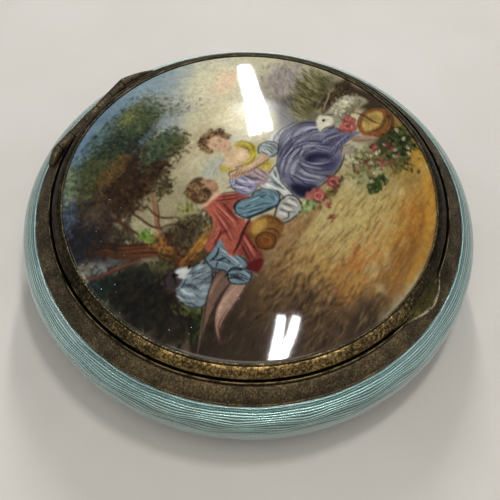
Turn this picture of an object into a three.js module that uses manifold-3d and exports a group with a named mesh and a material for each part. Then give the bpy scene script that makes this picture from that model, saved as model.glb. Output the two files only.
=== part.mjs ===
// Round enamelled pill box with a hinged lid. Millimetres, +Z up.
// The origin is the centre of the circle that the foot ring stands on.
// The hinge is on the +Y side and the thumb lip on the -Y side.

import * as THREE from 'three';
import { mergeVertices } from 'three/addons/utils/BufferGeometryUtils.js';
import Module from 'manifold-3d';

const wasm = await Module();
wasm.setup();

// ---- Driving dimensions ----------------------------------------------------------------------

const SEGMENTS = 48;           // facets round every turned piece
const FIT = 0.04;              // gap between pieces that touch on the real box

// Belly of the body
const BELLY_R = 24.1;          // widest radius
const BELLY_Z = 6.4;           // height of the widest circle
const BELLY_LOWER_R = 6.2;     // radius of the arc under the widest circle
const BELLY_UPPER_A = 3.193;   // half width of the elliptic arc above it
const BELLY_UPPER_B = 3.0;     // half height of that arc
const SHOULDER_Z = 9.0;        // height where the enamel meets the rim
const ENAMEL_T = 0.45;         // side enamel thickness
const PAN_T = 0.5;             // metal thickness of the pan

// Foot and base
const FOOT_OUTER_R = 17.75;
const FOOT_INNER_R = 16.7;
const BASE_ENAMEL_Z = 0.25;

// Rim plate and collar
const RIM_OUTER_R = 22.44;
const RIM_FLAT_R = 20.95;      // outer edge of the flat that the lid sits on
const RIM_FLAT_Z = 10.25;
const RIM_INNER_R = 18.97;
const RIM_BOTTOM_Z = 8.62;
const COLLAR_OUTER_R = 18.92;
const COLLAR_INNER_R = 18.35;
const COLLAR_TOP_Z = 10.92;

// Lid
const LID_Z = RIM_FLAT_Z + 0.05;   // underside of the closed lid
const LID_OUTER_R = 20.88;
const LID_INNER_R = 19.1;
const LIP_H = 0.57;            // height of the lower lip
const BEZEL_FOOT_R = 20.46;
const BEZEL_TOP_R = 19.72;
const BEZEL_TOP_H = 1.56;
const SEAT_H = 0.9;            // height of the seat that the plaque lies on
const SEAT_T = 0.18;
const SEAT_INNER_R = 18.2;
const POCKET_R = 19.6;         // wall of the recess round the plaque

// Plaque
const PLAQUE_R = 19.38;
const PLAQUE_EDGE_H = 1.55;    // height of the enamel's edge above the lid's underside
const DOME_RISE = 2.3;
const PAINTED_T = 0.22;
const COPPER_T = 0.2;
const COUNTER_T = 0.12;
const LAYER_GAP = 0.03;
const DOME_STEPS = 4;

// Lid lining
const LINING_R = 18.16;
const LINING_EDGE_H = 0.9;
const LINING_RISE = 1.6;
const LINING_T = 0.2;

// Hinge
const PIN_Y = 21.05;
const PIN_Z = 10.05;
const PIN_R = 0.35;
const BORE_R = 0.4;
const BARREL_R = 0.8;
const BARREL_HALF = 5.5;       // half length of the five knuckles together
const KNUCKLE_GAP = 0.05;
const KNUCKLE_ENDS = [-5.5, -3.4, -1.1, 1.1, 3.4, 5.5];
const END_LENGTH = 2.4;        // tapered end beyond the knuckles
const END_TIP_R = 0.45;
const LID_CLEARANCE = 0.3;     // room between the barrel and the turning lid
const BARREL_SIDES = 24;

// Thumbpiece
const THUMB_REACH = 0.93;      // how far the lip stands out from the lid
const THUMB_HALF_DEG = 12.7;   // half of the arc it takes up
const THUMB_STEPS = 16;
const THUMB_T = 0.5;

// Catch bead
const BEAD_R = 0.06;
const BEAD_LENGTH = 3;

// ---- Materials -------------------------------------------------------------------------------

const metal = (color, roughness) => new THREE.MeshStandardMaterial({ color, roughness, metalness: 1 });
const enamel = (color, roughness) => new THREE.MeshStandardMaterial({ color, roughness, metalness: 0 });

const TARNISHED = 0x544a3a;
const OLD_GOLD = 0x8a7448;
const BRIGHT_GOLD = 0xc9b070;
const COPPER = 0xa8623c;
const TURQUOISE = 0x8fb3ac;
const PAINT = 0x8c8a68;
const BACK_ENAMEL = 0xb8bcae;

// ---- Geometry helpers ------------------------------------------------------------------------

const deg = THREE.MathUtils.degToRad;

// Turns a closed outline of [radius, height] pairs round the Z axis. The outline runs
// anticlockwise, with radius to the right and height up. One that meets the axis stays open there.
function turned(outline) {
  const points = outline.map(([r, z]) => new THREE.Vector2(r, z));
  if (outline[0][0] > 0) points.push(points[0].clone());
  return new THREE.LatheGeometry(points, SEGMENTS).rotateX(Math.PI / 2);
}

// A rod along X. The radii are those of its -X and +X ends.
function rodX(radiusLeft, radiusRight, xLeft, xRight, sides = BARREL_SIDES) {
  const rod = new THREE.CylinderGeometry(radiusLeft, radiusRight, xRight - xLeft, sides);
  return rod.rotateZ(Math.PI / 2).translate((xLeft + xRight) / 2, 0, 0);
}

function toSolid(geometry) {
  const bare = geometry.clone();
  bare.deleteAttribute('normal');
  bare.deleteAttribute('uv');
  const merged = mergeVertices(bare, 1e-4);
  return new wasm.Manifold(new wasm.Mesh({
    numProp: 3,
    vertProperties: new Float32Array(merged.attributes.position.array),
    triVerts: new Uint32Array(merged.index.array),
  }));
}

function toGeometry(solid) {
  const mesh = solid.getMesh();
  const geometry = new THREE.BufferGeometry();
  geometry.setAttribute('position', new THREE.BufferAttribute(mesh.vertProperties, 3));
  geometry.setIndex(new THREE.BufferAttribute(mesh.triVerts, 1));
  geometry.computeVertexNormals();
  return geometry;
}

function cut(geometry, ...tools) {
  return toGeometry(tools.reduce((solid, tool) => solid.subtract(toSolid(tool)), toSolid(geometry)));
}

function join(geometry, ...others) {
  return toGeometry(others.reduce((solid, other) => solid.add(toSolid(other)), toSolid(geometry)));
}

function piece(name, geometry, material) {
  const mesh = new THREE.Mesh(geometry, material);
  mesh.name = name;
  return mesh;
}

// ---- Body ------------------------------------------------------------------------------------

const LOWER_CENTRE_R = BELLY_R - BELLY_LOWER_R;
const UPPER_CENTRE_R = BELLY_R - BELLY_UPPER_A;
const UPPER_END = Math.asin((SHOULDER_Z - BELLY_Z) / BELLY_UPPER_B);
const LOWER_STEPS = 5;
const UPPER_STEPS = 3;

// The belly's side from the base up to the shoulder, moved inwards by depth.
function bellySide(depth) {
  const side = [];
  for (let i = 0; i <= LOWER_STEPS; i++) {
    const angle = -Math.PI / 2 * (1 - i / LOWER_STEPS);
    const radius = BELLY_LOWER_R - depth;
    side.push([LOWER_CENTRE_R + radius * Math.cos(angle), BELLY_Z + radius * Math.sin(angle)]);
  }
  for (let i = 1; i <= UPPER_STEPS; i++) {
    const angle = UPPER_END * i / UPPER_STEPS;
    const normal = new THREE.Vector2(Math.cos(angle) / BELLY_UPPER_A, Math.sin(angle) / BELLY_UPPER_B);
    normal.normalize();
    side.push([
      UPPER_CENTRE_R + BELLY_UPPER_A * Math.cos(angle) - depth * normal.x,
      BELLY_Z + BELLY_UPPER_B * Math.sin(angle) - depth * normal.y,
    ]);
  }
  return side;
}

const PAN_DEPTH = ENAMEL_T + FIT;
const PAN_BOTTOM_Z = BELLY_Z - BELLY_LOWER_R + PAN_DEPTH;

const sideEnamel = () => turned([...bellySide(0), ...bellySide(ENAMEL_T).reverse()]);

const bodyPan = () => turned([
  [0, PAN_BOTTOM_Z],
  ...bellySide(PAN_DEPTH),
  ...bellySide(PAN_DEPTH + PAN_T).reverse(),
  [0, PAN_BOTTOM_Z + PAN_T],
]);

const footRing = () => turned([
  [FOOT_INNER_R, 0],
  [FOOT_OUTER_R - 0.15, 0],
  [FOOT_OUTER_R, 0.15],
  [FOOT_OUTER_R, PAN_BOTTOM_Z - FIT],
  [FOOT_INNER_R, PAN_BOTTOM_Z - FIT],
]);

const baseEnamel = () => turned([
  [0, BASE_ENAMEL_Z],
  [FOOT_INNER_R - FIT, BASE_ENAMEL_Z],
  [FOOT_INNER_R - FIT, PAN_BOTTOM_Z - FIT],
  [0, PAN_BOTTOM_Z - FIT],
]);

// The barrel's trough: a channel along X with tapered ends, wider than the barrel by room.
function barrelChannel(room) {
  const tipX = BARREL_HALF + END_LENGTH + room;
  const channel = [
    rodX(BARREL_R + room, BARREL_R + room, -BARREL_HALF, BARREL_HALF, 2 * BARREL_SIDES),
    rodX(END_TIP_R + room, BARREL_R + room, -tipX, -BARREL_HALF, 2 * BARREL_SIDES),
    rodX(BARREL_R + room, END_TIP_R + room, BARREL_HALF, tipX, 2 * BARREL_SIDES),
  ];
  return channel.map((rod) => rod.translate(0, PIN_Y, PIN_Z));
}

const rimPlate = () => cut(turned([
  [RIM_INNER_R, RIM_BOTTOM_Z],
  [RIM_OUTER_R - 0.21, RIM_BOTTOM_Z],
  [RIM_OUTER_R, SHOULDER_Z + 0.01],
  [RIM_FLAT_R, RIM_FLAT_Z],
  [RIM_INNER_R, RIM_FLAT_Z],
]), ...barrelChannel(0.06));

const collar = () => turned([
  [COLLAR_INNER_R, RIM_BOTTOM_Z],
  [COLLAR_OUTER_R, RIM_BOTTOM_Z],
  [COLLAR_OUTER_R, COLLAR_TOP_Z - 0.12],
  [COLLAR_OUTER_R - 0.12, COLLAR_TOP_Z],
  [COLLAR_INNER_R, COLLAR_TOP_Z],
]);

const catchBead = () => rodX(BEAD_R, BEAD_R, -BEAD_LENGTH / 2, BEAD_LENGTH / 2, 8)
  .translate(0, -(COLLAR_OUTER_R + BEAD_R + 0.01), COLLAR_TOP_Z - 0.25);

// ---- Hinge -----------------------------------------------------------------------------------

// A knuckle from xLeft to xRight, bored for the pin, centred on the pin.
function knuckle(xLeft, xRight) {
  const tube = rodX(BARREL_R, BARREL_R, xLeft, xRight);
  return cut(tube, rodX(BORE_R, BORE_R, xLeft - 1, xRight + 1));
}

// A lid knuckle has a small tab that reaches into the lid frame.
function lidKnuckle(xLeft, xRight) {
  const tab = new THREE.BoxGeometry(xRight - xLeft, 0.4, 0.25).toNonIndexed();
  tab.translate((xLeft + xRight) / 2, -0.75, 0.375);
  const tabSolid = mergeVertices(tab.deleteAttribute('normal').deleteAttribute('uv'), 1e-4);
  return join(knuckle(xLeft, xRight), tabSolid);
}

const knuckleSpan = (i) => [KNUCKLE_ENDS[i] + KNUCKLE_GAP / 2, KNUCKLE_ENDS[i + 1] - KNUCKLE_GAP / 2];
const END_START = BARREL_HALF + KNUCKLE_GAP;
const pinHalf = BARREL_HALF - KNUCKLE_GAP;

// ---- Lid -------------------------------------------------------------------------------------
// Heights in this section are above the lid's underside.

const lidFrame = () => {
  const ring = turned([
    [LID_INNER_R, 0],
    [LID_OUTER_R - 0.08, 0],
    [LID_OUTER_R, 0.08],
    [LID_OUTER_R, LIP_H - 0.07],
    [LID_OUTER_R - 0.1, LIP_H],
    [BEZEL_FOOT_R + 0.14, LIP_H - 0.09],
    [BEZEL_FOOT_R, LIP_H + 0.11],
    [BEZEL_FOOT_R - 0.24, LIP_H + 0.53],
    [BEZEL_TOP_R + 0.23, BEZEL_TOP_H - 0.16],
    [BEZEL_TOP_R, BEZEL_TOP_H],
    [POCKET_R, BEZEL_TOP_H],
    [POCKET_R, SEAT_H],
    [SEAT_INNER_R, SEAT_H],
    [SEAT_INNER_R, SEAT_H - SEAT_T],
    [LID_INNER_R, SEAT_H - SEAT_T],
  ]);
  const channel = barrelChannel(LID_CLEARANCE).map((rod) => rod.translate(0, 0, -LID_Z));
  return cut(ring, ...channel);
};

const thumbpiece = () => {
  const outline = new THREE.Shape();
  const startR = LID_OUTER_R + 0.05;
  const half = deg(THUMB_HALF_DEG);
  for (let i = 0; i <= THUMB_STEPS; i++) {
    const t = 2 * i / THUMB_STEPS - 1;
    const angle = half * t - Math.PI / 2;
    const r = startR + 0.06 + THUMB_REACH * (1 + Math.cos(Math.PI * t)) / 2;
    if (i === 0) outline.moveTo(r * Math.cos(angle), r * Math.sin(angle));
    else outline.lineTo(r * Math.cos(angle), r * Math.sin(angle));
  }
  for (let i = THUMB_STEPS; i >= 0; i--) {
    const angle = half * (2 * i / THUMB_STEPS - 1) - Math.PI / 2;
    outline.lineTo(startR * Math.cos(angle), startR * Math.sin(angle));
  }
  return new THREE.ExtrudeGeometry(outline, { depth: THUMB_T, bevelEnabled: false });
};

const settingRing = () => turned([
  [PLAQUE_R + FIT, SEAT_H + FIT],
  [POCKET_R - FIT, SEAT_H + FIT],
  [POCKET_R - FIT, BEZEL_TOP_H + 0.06],
  [PLAQUE_R + 0.06, BEZEL_TOP_H + 0.13],
  [PLAQUE_R - 0.04, BEZEL_TOP_H + 0.1],
  [PLAQUE_R + FIT, BEZEL_TOP_H + 0.02],
]);

// Height of a spherical cap above its edge, at radius r.
function capHeight(r, edgeR, rise) {
  const sphereR = (edgeR * edgeR + rise * rise) / (2 * rise);
  return Math.sqrt(sphereR * sphereR - r * r) - (sphereR - rise);
}

// A domed plate of even thickness, its upper surface a cap that ends at edgeR and edgeH.
function domedPlate(edgeR, edgeH, rise, thickness, outerR = edgeR) {
  const top = [];
  for (let i = DOME_STEPS; i >= 0; i--) {
    const r = outerR * i / DOME_STEPS;
    top.push([r, edgeH + capHeight(r, edgeR, rise)]);
  }
  const under = top.map(([r, z]) => [r, z - thickness]).reverse();
  return turned([...under, ...top]);
}

const copperTop = PLAQUE_EDGE_H - PAINTED_T - LAYER_GAP;
const counterTop = copperTop - COPPER_T - LAYER_GAP;

// ---- Assembly --------------------------------------------------------------------------------

const tarnished = () => metal(TARNISHED, 0.5);
const oldGold = () => metal(OLD_GOLD, 0.4);

const body = new THREE.Group();
body.add(
  piece('foot_ring', footRing(), oldGold()),
  piece('base_enamel', baseEnamel(), enamel(TURQUOISE, 0.15)),
  piece('body_pan', bodyPan(), oldGold()),
  piece('side_enamel', sideEnamel(), enamel(TURQUOISE, 0.15)),
  piece('rim_plate', rimPlate(), tarnished()),
  piece('collar', collar(), oldGold()),
  piece('catch_bead', catchBead(), oldGold()),
);

const bodyHinge = new THREE.Group();
bodyHinge.position.set(0, PIN_Y, PIN_Z);
bodyHinge.add(
  piece('knuckle_left', knuckle(...knuckleSpan(0)), tarnished()),
  piece('knuckle_middle', knuckle(...knuckleSpan(2)), tarnished()),
  piece('knuckle_right', knuckle(...knuckleSpan(4)), tarnished()),
  piece('hinge_end_left', rodX(END_TIP_R, BARREL_R, -END_START - END_LENGTH, -END_START), tarnished()),
  piece('hinge_end_right', rodX(BARREL_R, END_TIP_R, END_START, END_START + END_LENGTH), tarnished()),
  piece('hinge_pin', rodX(PIN_R, PIN_R, -pinHalf, pinHalf), metal(0x9c9a94, 0.35)),
);

const lid = new THREE.Group();
lid.position.z = LID_Z;
const thumb = piece('thumbpiece', thumbpiece(), tarnished());
thumb.position.z = (LIP_H - THUMB_T) / 2;
const lidHinge = new THREE.Group();
lidHinge.position.set(0, PIN_Y, PIN_Z - LID_Z);
lidHinge.add(
  piece('lid_knuckle_left', lidKnuckle(...knuckleSpan(1)), tarnished()),
  piece('lid_knuckle_right', lidKnuckle(...knuckleSpan(3)), tarnished()),
);
lid.add(
  piece('lid_frame', lidFrame(), oldGold()),
  thumb,
  piece('setting_ring', settingRing(), metal(BRIGHT_GOLD, 0.3)),
  piece('painted_enamel', domedPlate(PLAQUE_R, PLAQUE_EDGE_H, DOME_RISE, PAINTED_T), enamel(PAINT, 0.12)),
  piece('plaque_copper', domedPlate(PLAQUE_R, copperTop, DOME_RISE, COPPER_T), metal(COPPER, 0.5)),
  piece('counter_enamel', domedPlate(PLAQUE_R, counterTop, DOME_RISE, COUNTER_T), enamel(BACK_ENAMEL, 0.3)),
  piece('lid_lining', domedPlate(LINING_R, LINING_EDGE_H, LINING_RISE, LINING_T), metal(BRIGHT_GOLD, 0.35)),
  lidHinge,
);

const pillBox = new THREE.Group();
pillBox.add(body, bodyHinge, lid);

export default pillBox;
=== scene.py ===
# %% [markdown]
# # An enamelled pill box with a painted lid
# This lesson builds a small round box for pills. Its belly is turquoise enamel over engraved
# silver, its rim and lid are gilt that has gone brown with age, and the lid carries a domed
# copper plaque painted in enamel colours. The lid turns on a five-part hinge at the back.
# The sizes come from a plain model of the same box, which is loaded first as a frame. Every
# piece is made in that frame, so it lands in its right place with no fitting.

# %% Load the frame
import math

import bmesh
import bpy
import numpy as np
from mathutils import Matrix, Vector, noise


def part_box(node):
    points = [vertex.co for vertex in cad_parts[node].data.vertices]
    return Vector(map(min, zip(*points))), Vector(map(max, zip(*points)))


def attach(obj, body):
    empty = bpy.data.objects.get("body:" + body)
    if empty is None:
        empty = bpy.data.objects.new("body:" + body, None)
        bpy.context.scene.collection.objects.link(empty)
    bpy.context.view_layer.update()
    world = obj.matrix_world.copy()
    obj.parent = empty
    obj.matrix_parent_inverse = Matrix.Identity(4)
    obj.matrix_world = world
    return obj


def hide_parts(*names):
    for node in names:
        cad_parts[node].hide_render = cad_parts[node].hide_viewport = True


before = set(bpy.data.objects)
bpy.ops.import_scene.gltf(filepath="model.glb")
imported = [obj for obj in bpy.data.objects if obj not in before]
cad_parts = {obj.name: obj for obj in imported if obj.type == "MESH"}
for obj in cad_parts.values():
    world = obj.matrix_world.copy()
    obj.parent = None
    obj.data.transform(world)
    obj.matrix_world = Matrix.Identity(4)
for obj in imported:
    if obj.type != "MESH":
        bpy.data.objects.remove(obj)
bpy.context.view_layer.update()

# %% [markdown]
# ## Sizes
# Blender works in metres, but a box this small is easier to think of in millimetres, so every
# outline below is in millimetres and is scaled once, when its mesh is started. The radii and
# heights that other pieces meet are read from the frame instead of being typed again.

# %% Sizes read from the frame
MM = 0.001
ROUND_STEPS = 256            # steps in one full turn of the lathe


def reach_of(node):
    """Outer radius of a frame piece in mm, with its lowest and highest point."""
    low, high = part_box(node)
    return high.x / MM, low.z / MM, high.z / MM


BELLY_R, BELLY_BOTTOM, SHOULDER_Z = reach_of("side_enamel")
RIM_R, RIM_BOTTOM, RIM_TOP = reach_of("rim_plate")
COLLAR_R, COLLAR_BOTTOM, COLLAR_TOP = reach_of("collar")
FOOT_R, FOOT_BOTTOM, FOOT_TOP = reach_of("foot_ring")
BASE_R, BASE_BOTTOM, BASE_TOP = reach_of("base_enamel")
LID_R, LID_Z, BEZEL_TOP = reach_of("lid_frame")
PLAQUE_R, _, PLAQUE_TOP = reach_of("painted_enamel")
LINING_R, _, LINING_TOP = reach_of("lid_lining")
print(f"belly {BELLY_R:.2f}, rim {RIM_R:.2f}, lid {LID_R:.2f}, plaque {PLAQUE_R:.2f} mm")

# %% [markdown]
# ## The lathe
# Almost every piece of a round box is turned or spun, so one helper does what a lathe does.
# It puts an outline into the upright plane, rounds the corners that ask for it by bevelling
# those vertices, and spins the outline once round the upright axis. Two more vertices near the
# ends of each long straight hold the shading flat there, so a small rounding stays small.
# A smooth-shaded mesh without them would look swollen between its corners.

# %% A helper that turns an outline
HOLD = 0.06                  # distance in mm of a holding vertex from its corner
CORNER_SEGMENTS = 5


def section(points):
    """A bmesh with one flat face of (radius, height) or (radius, height, rounding) points."""
    work = bmesh.new()
    verts = [work.verts.new((p[0] * MM, 0, p[1] * MM)) for p in points]
    work.faces.new(verts)
    roundings = sorted({p[2] for p in points if len(p) > 2})
    for rounding in roundings:
        corner = [v for v, p in zip(verts, points) if len(p) > 2 and p[2] == rounding]
        bmesh.ops.bevel(work, geom=corner, offset=rounding * MM, offset_type="OFFSET",
                        segments=CORNER_SEGMENTS, profile=0.5, affect="VERTICES", material=-1,
                        clamp_overlap=True)
    for edge in list(work.edges):
        length = edge.calc_length() / MM
        if length > 5 * HOLD:
            first, last = edge.verts
            held = bmesh.utils.edge_split(edge, first, HOLD / length)[1]
            rest = next(e for e in held.link_edges if last in e.verts)
            bmesh.utils.edge_split(rest, last, HOLD / (length - HOLD))
    return work


def turned(points, steps=ROUND_STEPS):
    """A bmesh of an outline turned once round the upright axis, closed at the axis."""
    work = section(points)
    bmesh.ops.delete(work, geom=work.faces[:], context="FACES_ONLY")
    on_axis = [e for e in work.edges if all(abs(v.co.x) < 1e-9 for v in e.verts)]
    bmesh.ops.delete(work, geom=on_axis, context="EDGES")
    bmesh.ops.spin(work, geom=work.verts[:] + work.edges[:], cent=(0, 0, 0), axis=(0, 0, 1),
                   angle=2 * math.pi, steps=steps, use_merge=True, use_duplicate=False)
    bmesh.ops.remove_doubles(work, verts=work.verts[:], dist=1e-7)
    bmesh.ops.recalc_face_normals(work, faces=work.faces[:])
    return work


def along_x(work, middle):
    """Lays a turned piece down along X, with its axis through the point middle in mm."""
    bmesh.ops.rotate(work, verts=work.verts[:], cent=(0, 0, 0),
                     matrix=Matrix.Rotation(math.pi / 2, 3, "Y"))
    bmesh.ops.translate(work, verts=work.verts[:], vec=Vector(middle) * MM)
    return work


def shown(name, work, sharp_above=None):
    """Makes an object at the origin from a bmesh, smooth-shaded, and prints its size."""
    mesh = bpy.data.meshes.new(name)
    work.to_mesh(mesh)
    work.free()
    mesh.polygons.foreach_set("use_smooth", [True] * len(mesh.polygons))
    if sharp_above:
        mesh.set_sharp_from_angle(angle=math.radians(sharp_above))
    made = bpy.data.objects.new(name, mesh)
    bpy.context.scene.collection.objects.link(made)
    size = [round(d / MM, 2) for d in made.dimensions]
    print(f"{name}: {len(mesh.polygons)} faces, {size} mm")
    return made


def placed(piece, body, slot, *nodes):
    """Lets a piece ride on a body and stand for frame pieces. The slot is not used."""
    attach(piece, body)
    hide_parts(*nodes)
    return piece


# %% [markdown]
# A boolean cut is the saw of this workshop. The modifier is applied at once, so that the
# finished mesh is plain, and a narrow bevel then softens the new edges as a file would.

# %% A helper that cuts one piece with others
def applied(piece):
    """Bakes a piece's modifiers into its mesh."""
    bpy.context.view_layer.update()
    evaluated = piece.evaluated_get(bpy.context.evaluated_depsgraph_get())
    mesh = bpy.data.meshes.new_from_object(evaluated)
    piece.modifiers.clear()
    piece.data = mesh
    return piece


def combined(piece, tools, operation="DIFFERENCE", softened=0.0):
    """Cuts a piece with tools, or joins them to it, and removes the tools."""
    for tool in tools:
        step = piece.modifiers.new("saw", "BOOLEAN")
        step.operation = operation
        step.solver = "EXACT"
        step.object = tool
        applied(piece)
        bpy.data.objects.remove(tool)
    if softened:
        step = piece.modifiers.new("file", "BEVEL")
        step.width = softened * MM
        step.segments = 2
        step.limit_method = "ANGLE"
        step.angle_limit = math.radians(50)
        applied(piece)
    piece.data.set_sharp_from_angle(angle=math.radians(38))
    print(f"{piece.name}: {len(piece.data.polygons)} faces after cutting")
    return piece


# %% [markdown]
# ## The belly
# The side of the box swells out and rolls under to the foot. It is enamel about half a
# millimetre thick, so it has its own outer and inner wall. Its section is a long arc below
# the widest circle and a tighter elliptic arc above. A formula gives both arcs, and the same
# formula, moved inwards, gives the wall's inner face and later the metal pan behind it.
# The top edge gets a small rounding, because glass pulls back into a bead where it stops.

# %% The side enamel
BELLY_Z = 6.4                # height of the widest circle
LOWER_ARC = BELLY_Z - BELLY_BOTTOM
UPPER_WIDE = 3.193           # half width of the elliptic arc
UPPER_TALL = 3.0             # half height of that arc
ENAMEL_WALL = 0.45
SHOULDER_ANGLE = math.asin((SHOULDER_Z - BELLY_Z) / UPPER_TALL)


def belly_point(angle, inwards):
    """A point of the belly's section. The angle is 0 at the widest circle."""
    if angle < 0:
        arc = LOWER_ARC - inwards
        return (BELLY_R - LOWER_ARC + arc * math.cos(angle), BELLY_Z + arc * math.sin(angle))
    across = Vector((math.cos(angle) / UPPER_WIDE, math.sin(angle) / UPPER_TALL)).normalized()
    return (BELLY_R - UPPER_WIDE + UPPER_WIDE * math.cos(angle) - inwards * across.x,
            BELLY_Z + UPPER_TALL * math.sin(angle) - inwards * across.y)


def belly_arc(inwards, lower_steps, upper_steps, top=SHOULDER_ANGLE):
    """Belly points from the bottom to the shoulder."""
    lower = [belly_point(-math.pi / 2 * (1 - i / lower_steps), inwards) for i in range(lower_steps)]
    upper = [belly_point(top * i / upper_steps, inwards) for i in range(upper_steps + 1)]
    return lower + upper


outer = belly_arc(0.0, 44, 30, top=SHOULDER_ANGLE * 0.96)
inner = belly_arc(ENAMEL_WALL, 16, 10)
bead = [(22.47, SHOULDER_Z + 0.05), (22.40, SHOULDER_Z + 0.06), (22.33, SHOULDER_Z + 0.03)]
side_enamel = shown("side_enamel_fine", turned(outer + bead + inner[::-1], steps=320))

# %% [markdown]
# The engraving under the enamel follows the belly downwards, so its pattern needs the
# distance from the shoulder measured along the surface. Only this piece knows that distance,
# so it is stored on the mesh as an attribute that the finish can read.

# %% How far down the belly each point lies
def store_distance_down(piece):
    """Stores the distance in mm from the shoulder, along the belly, on every vertex."""
    mesh = piece.data
    values = []
    for vertex in mesh.vertices:
        radius = math.hypot(vertex.co.x, vertex.co.y) / MM
        height = vertex.co.z / MM
        if height > BELLY_Z:
            turn = math.atan2((height - BELLY_Z) / UPPER_TALL,
                              (radius - BELLY_R + UPPER_WIDE) / UPPER_WIDE)
            values.append((SHOULDER_ANGLE - turn) * UPPER_TALL)
        else:
            turn = math.atan2(BELLY_Z - height, radius - BELLY_R + LOWER_ARC)
            values.append(SHOULDER_ANGLE * UPPER_TALL + turn * LOWER_ARC)
    mesh.attributes.new("down", "FLOAT", "POINT").data.foreach_set("value", values)
    print(f"down the belly: {min(values):.2f} to {max(values):.2f} mm")


store_distance_down(side_enamel)
placed(side_enamel, "box", "turquoise_enamel", "side_enamel")

# %% [markdown]
# ## The foot and the base
# A narrow ring carries the box, and a flat disc of the same enamel fills the ring, so the
# underside is as finished as the top. Both are turned. The disc is very slightly dished, as
# fired enamel on a thin plate always is, which also keeps it off the table.

# %% Foot ring and base enamel
FOOT_WIDTH = 1.05
foot_ring = shown("foot_ring_fine", turned([
    (FOOT_R - FOOT_WIDTH, FOOT_BOTTOM, 0.12), (FOOT_R - 0.08, FOOT_BOTTOM, 0.16),
    (FOOT_R, FOOT_BOTTOM + 0.3), (FOOT_R - 0.06, FOOT_BOTTOM + 0.42, 0.04),
    (FOOT_R, FOOT_TOP, 0.05), (FOOT_R - FOOT_WIDTH, FOOT_TOP)]))
placed(foot_ring, "box", "old_gilt", "foot_ring")

DISH = 0.1
base_points = [(BASE_R * i / 12, BASE_BOTTOM + DISH * (1 - (i / 12) ** 2)) for i in range(12)]
base_enamel = shown("base_enamel_fine", turned(
    base_points + [(BASE_R, BASE_BOTTOM, 0.08), (BASE_R, BASE_TOP), (0, BASE_TOP)]))
down = [math.hypot(v.co.x, v.co.y) / MM for v in base_enamel.data.vertices]
base_enamel.data.attributes.new("down", "FLOAT", "POINT").data.foreach_set("value", down)
placed(base_enamel, "box", "turquoise_enamel", "base_enamel")

# %% [markdown]
# ## The pan and the collar
# The pills lie in a gilt pan that follows the belly. It could be hidden, but the lid opens,
# so it is made whole with the same belly formula. The collar is the thin upright ring that
# the lid slips over, and a tiny soldered bead on its front gives the lid its click.

# %% Body pan, collar and catch bead
PAN_SINK = 0.49              # how far the pan's outer face lies behind the enamel's
PAN_WALL = 0.5
pan_outer = belly_arc(PAN_SINK, 24, 12)
pan_inner = belly_arc(PAN_SINK + PAN_WALL, 24, 12)
pan_outer[-1] = (pan_outer[-1][0] - 0.02, pan_outer[-1][1])
body_pan = shown("body_pan_fine", turned(
    [(0, pan_outer[0][1])] + pan_outer + pan_inner[::-1] + [(0, pan_inner[0][1])]))
placed(body_pan, "box", "old_gilt", "body_pan")

COLLAR_WALL = 0.57
collar = shown("collar_fine", turned([
    (COLLAR_R - COLLAR_WALL, COLLAR_BOTTOM), (COLLAR_R, COLLAR_BOTTOM),
    (COLLAR_R, COLLAR_TOP - 0.3), (COLLAR_R - 0.03, COLLAR_TOP - 0.1, 0.05),
    (COLLAR_R - 0.18, COLLAR_TOP, 0.1), (COLLAR_R - COLLAR_WALL, COLLAR_TOP, 0.12)]))
placed(collar, "box", "old_gilt", "collar")

BEAD_R = 0.06
bead_low, bead_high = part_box("catch_bead")
bead_half = bead_high.x / MM
catch_bead = shown("catch_bead_fine", along_x(turned([
    (0, -bead_half), (BEAD_R, -bead_half, 0.05), (BEAD_R, bead_half, 0.05), (0, bead_half)],
    steps=24), (bead_low + bead_high) / 2 / MM))
placed(catch_bead, "box", "old_gilt", "catch_bead")

# %% [markdown]
# ## The hinge barrel
# Five short tubes turn on one pin: the left, middle and right ones belong to the box and the
# two between them to the lid. Each tube is an outline turned and laid along X. The tubes
# have rounded mouths, so the joints between them read as thin dark lines. A hundred years of
# wear has thinned them, so they are slimmer than the trough they lie in. The barrel ends in
# two stops. Each is turned as a taper, then its vertices are moved inwards on to a circle and
# downwards along a curve, so that it follows the rim and sinks into it.

# %% Knuckles, pin and tapered ends
pin_low, pin_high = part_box("hinge_pin")
PIN_PLACE = Vector((0, (pin_low.y + pin_high.y) / 2, (pin_low.z + pin_high.z) / 2)) / MM
BARREL_R = (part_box("knuckle_middle")[1].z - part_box("knuckle_middle")[0].z) / 2 / MM
BORE_R = 0.4
MOUTH = 0.07                 # rounding at a tube's mouth
BARREL_STEPS = 64
WEAR = 0.16                  # metal worn off the tubes all round
TUBE_R = BARREL_R - WEAR


def knuckle(node, body):
    """A bored tube between the ends of its frame piece."""
    left, right = (corner.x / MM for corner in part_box(node))
    tube = along_x(turned([
        (BORE_R, left), (TUBE_R, left, MOUTH), (TUBE_R, right, MOUTH), (BORE_R, right)],
        steps=BARREL_STEPS), PIN_PLACE)
    made = shown(node + "_fine", tube)
    return placed(made, body, "tarnished_gilt", node)


END_PATH_R = 21.9            # the stops bend inwards to follow the rim at this radius
END_DROP = 0.4               # how far a tip sinks towards the rim plate
TAPER_SHARES = (0.12, 0.25, 0.38, 0.5, 0.62, 0.74, 0.85, 0.93)


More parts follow.
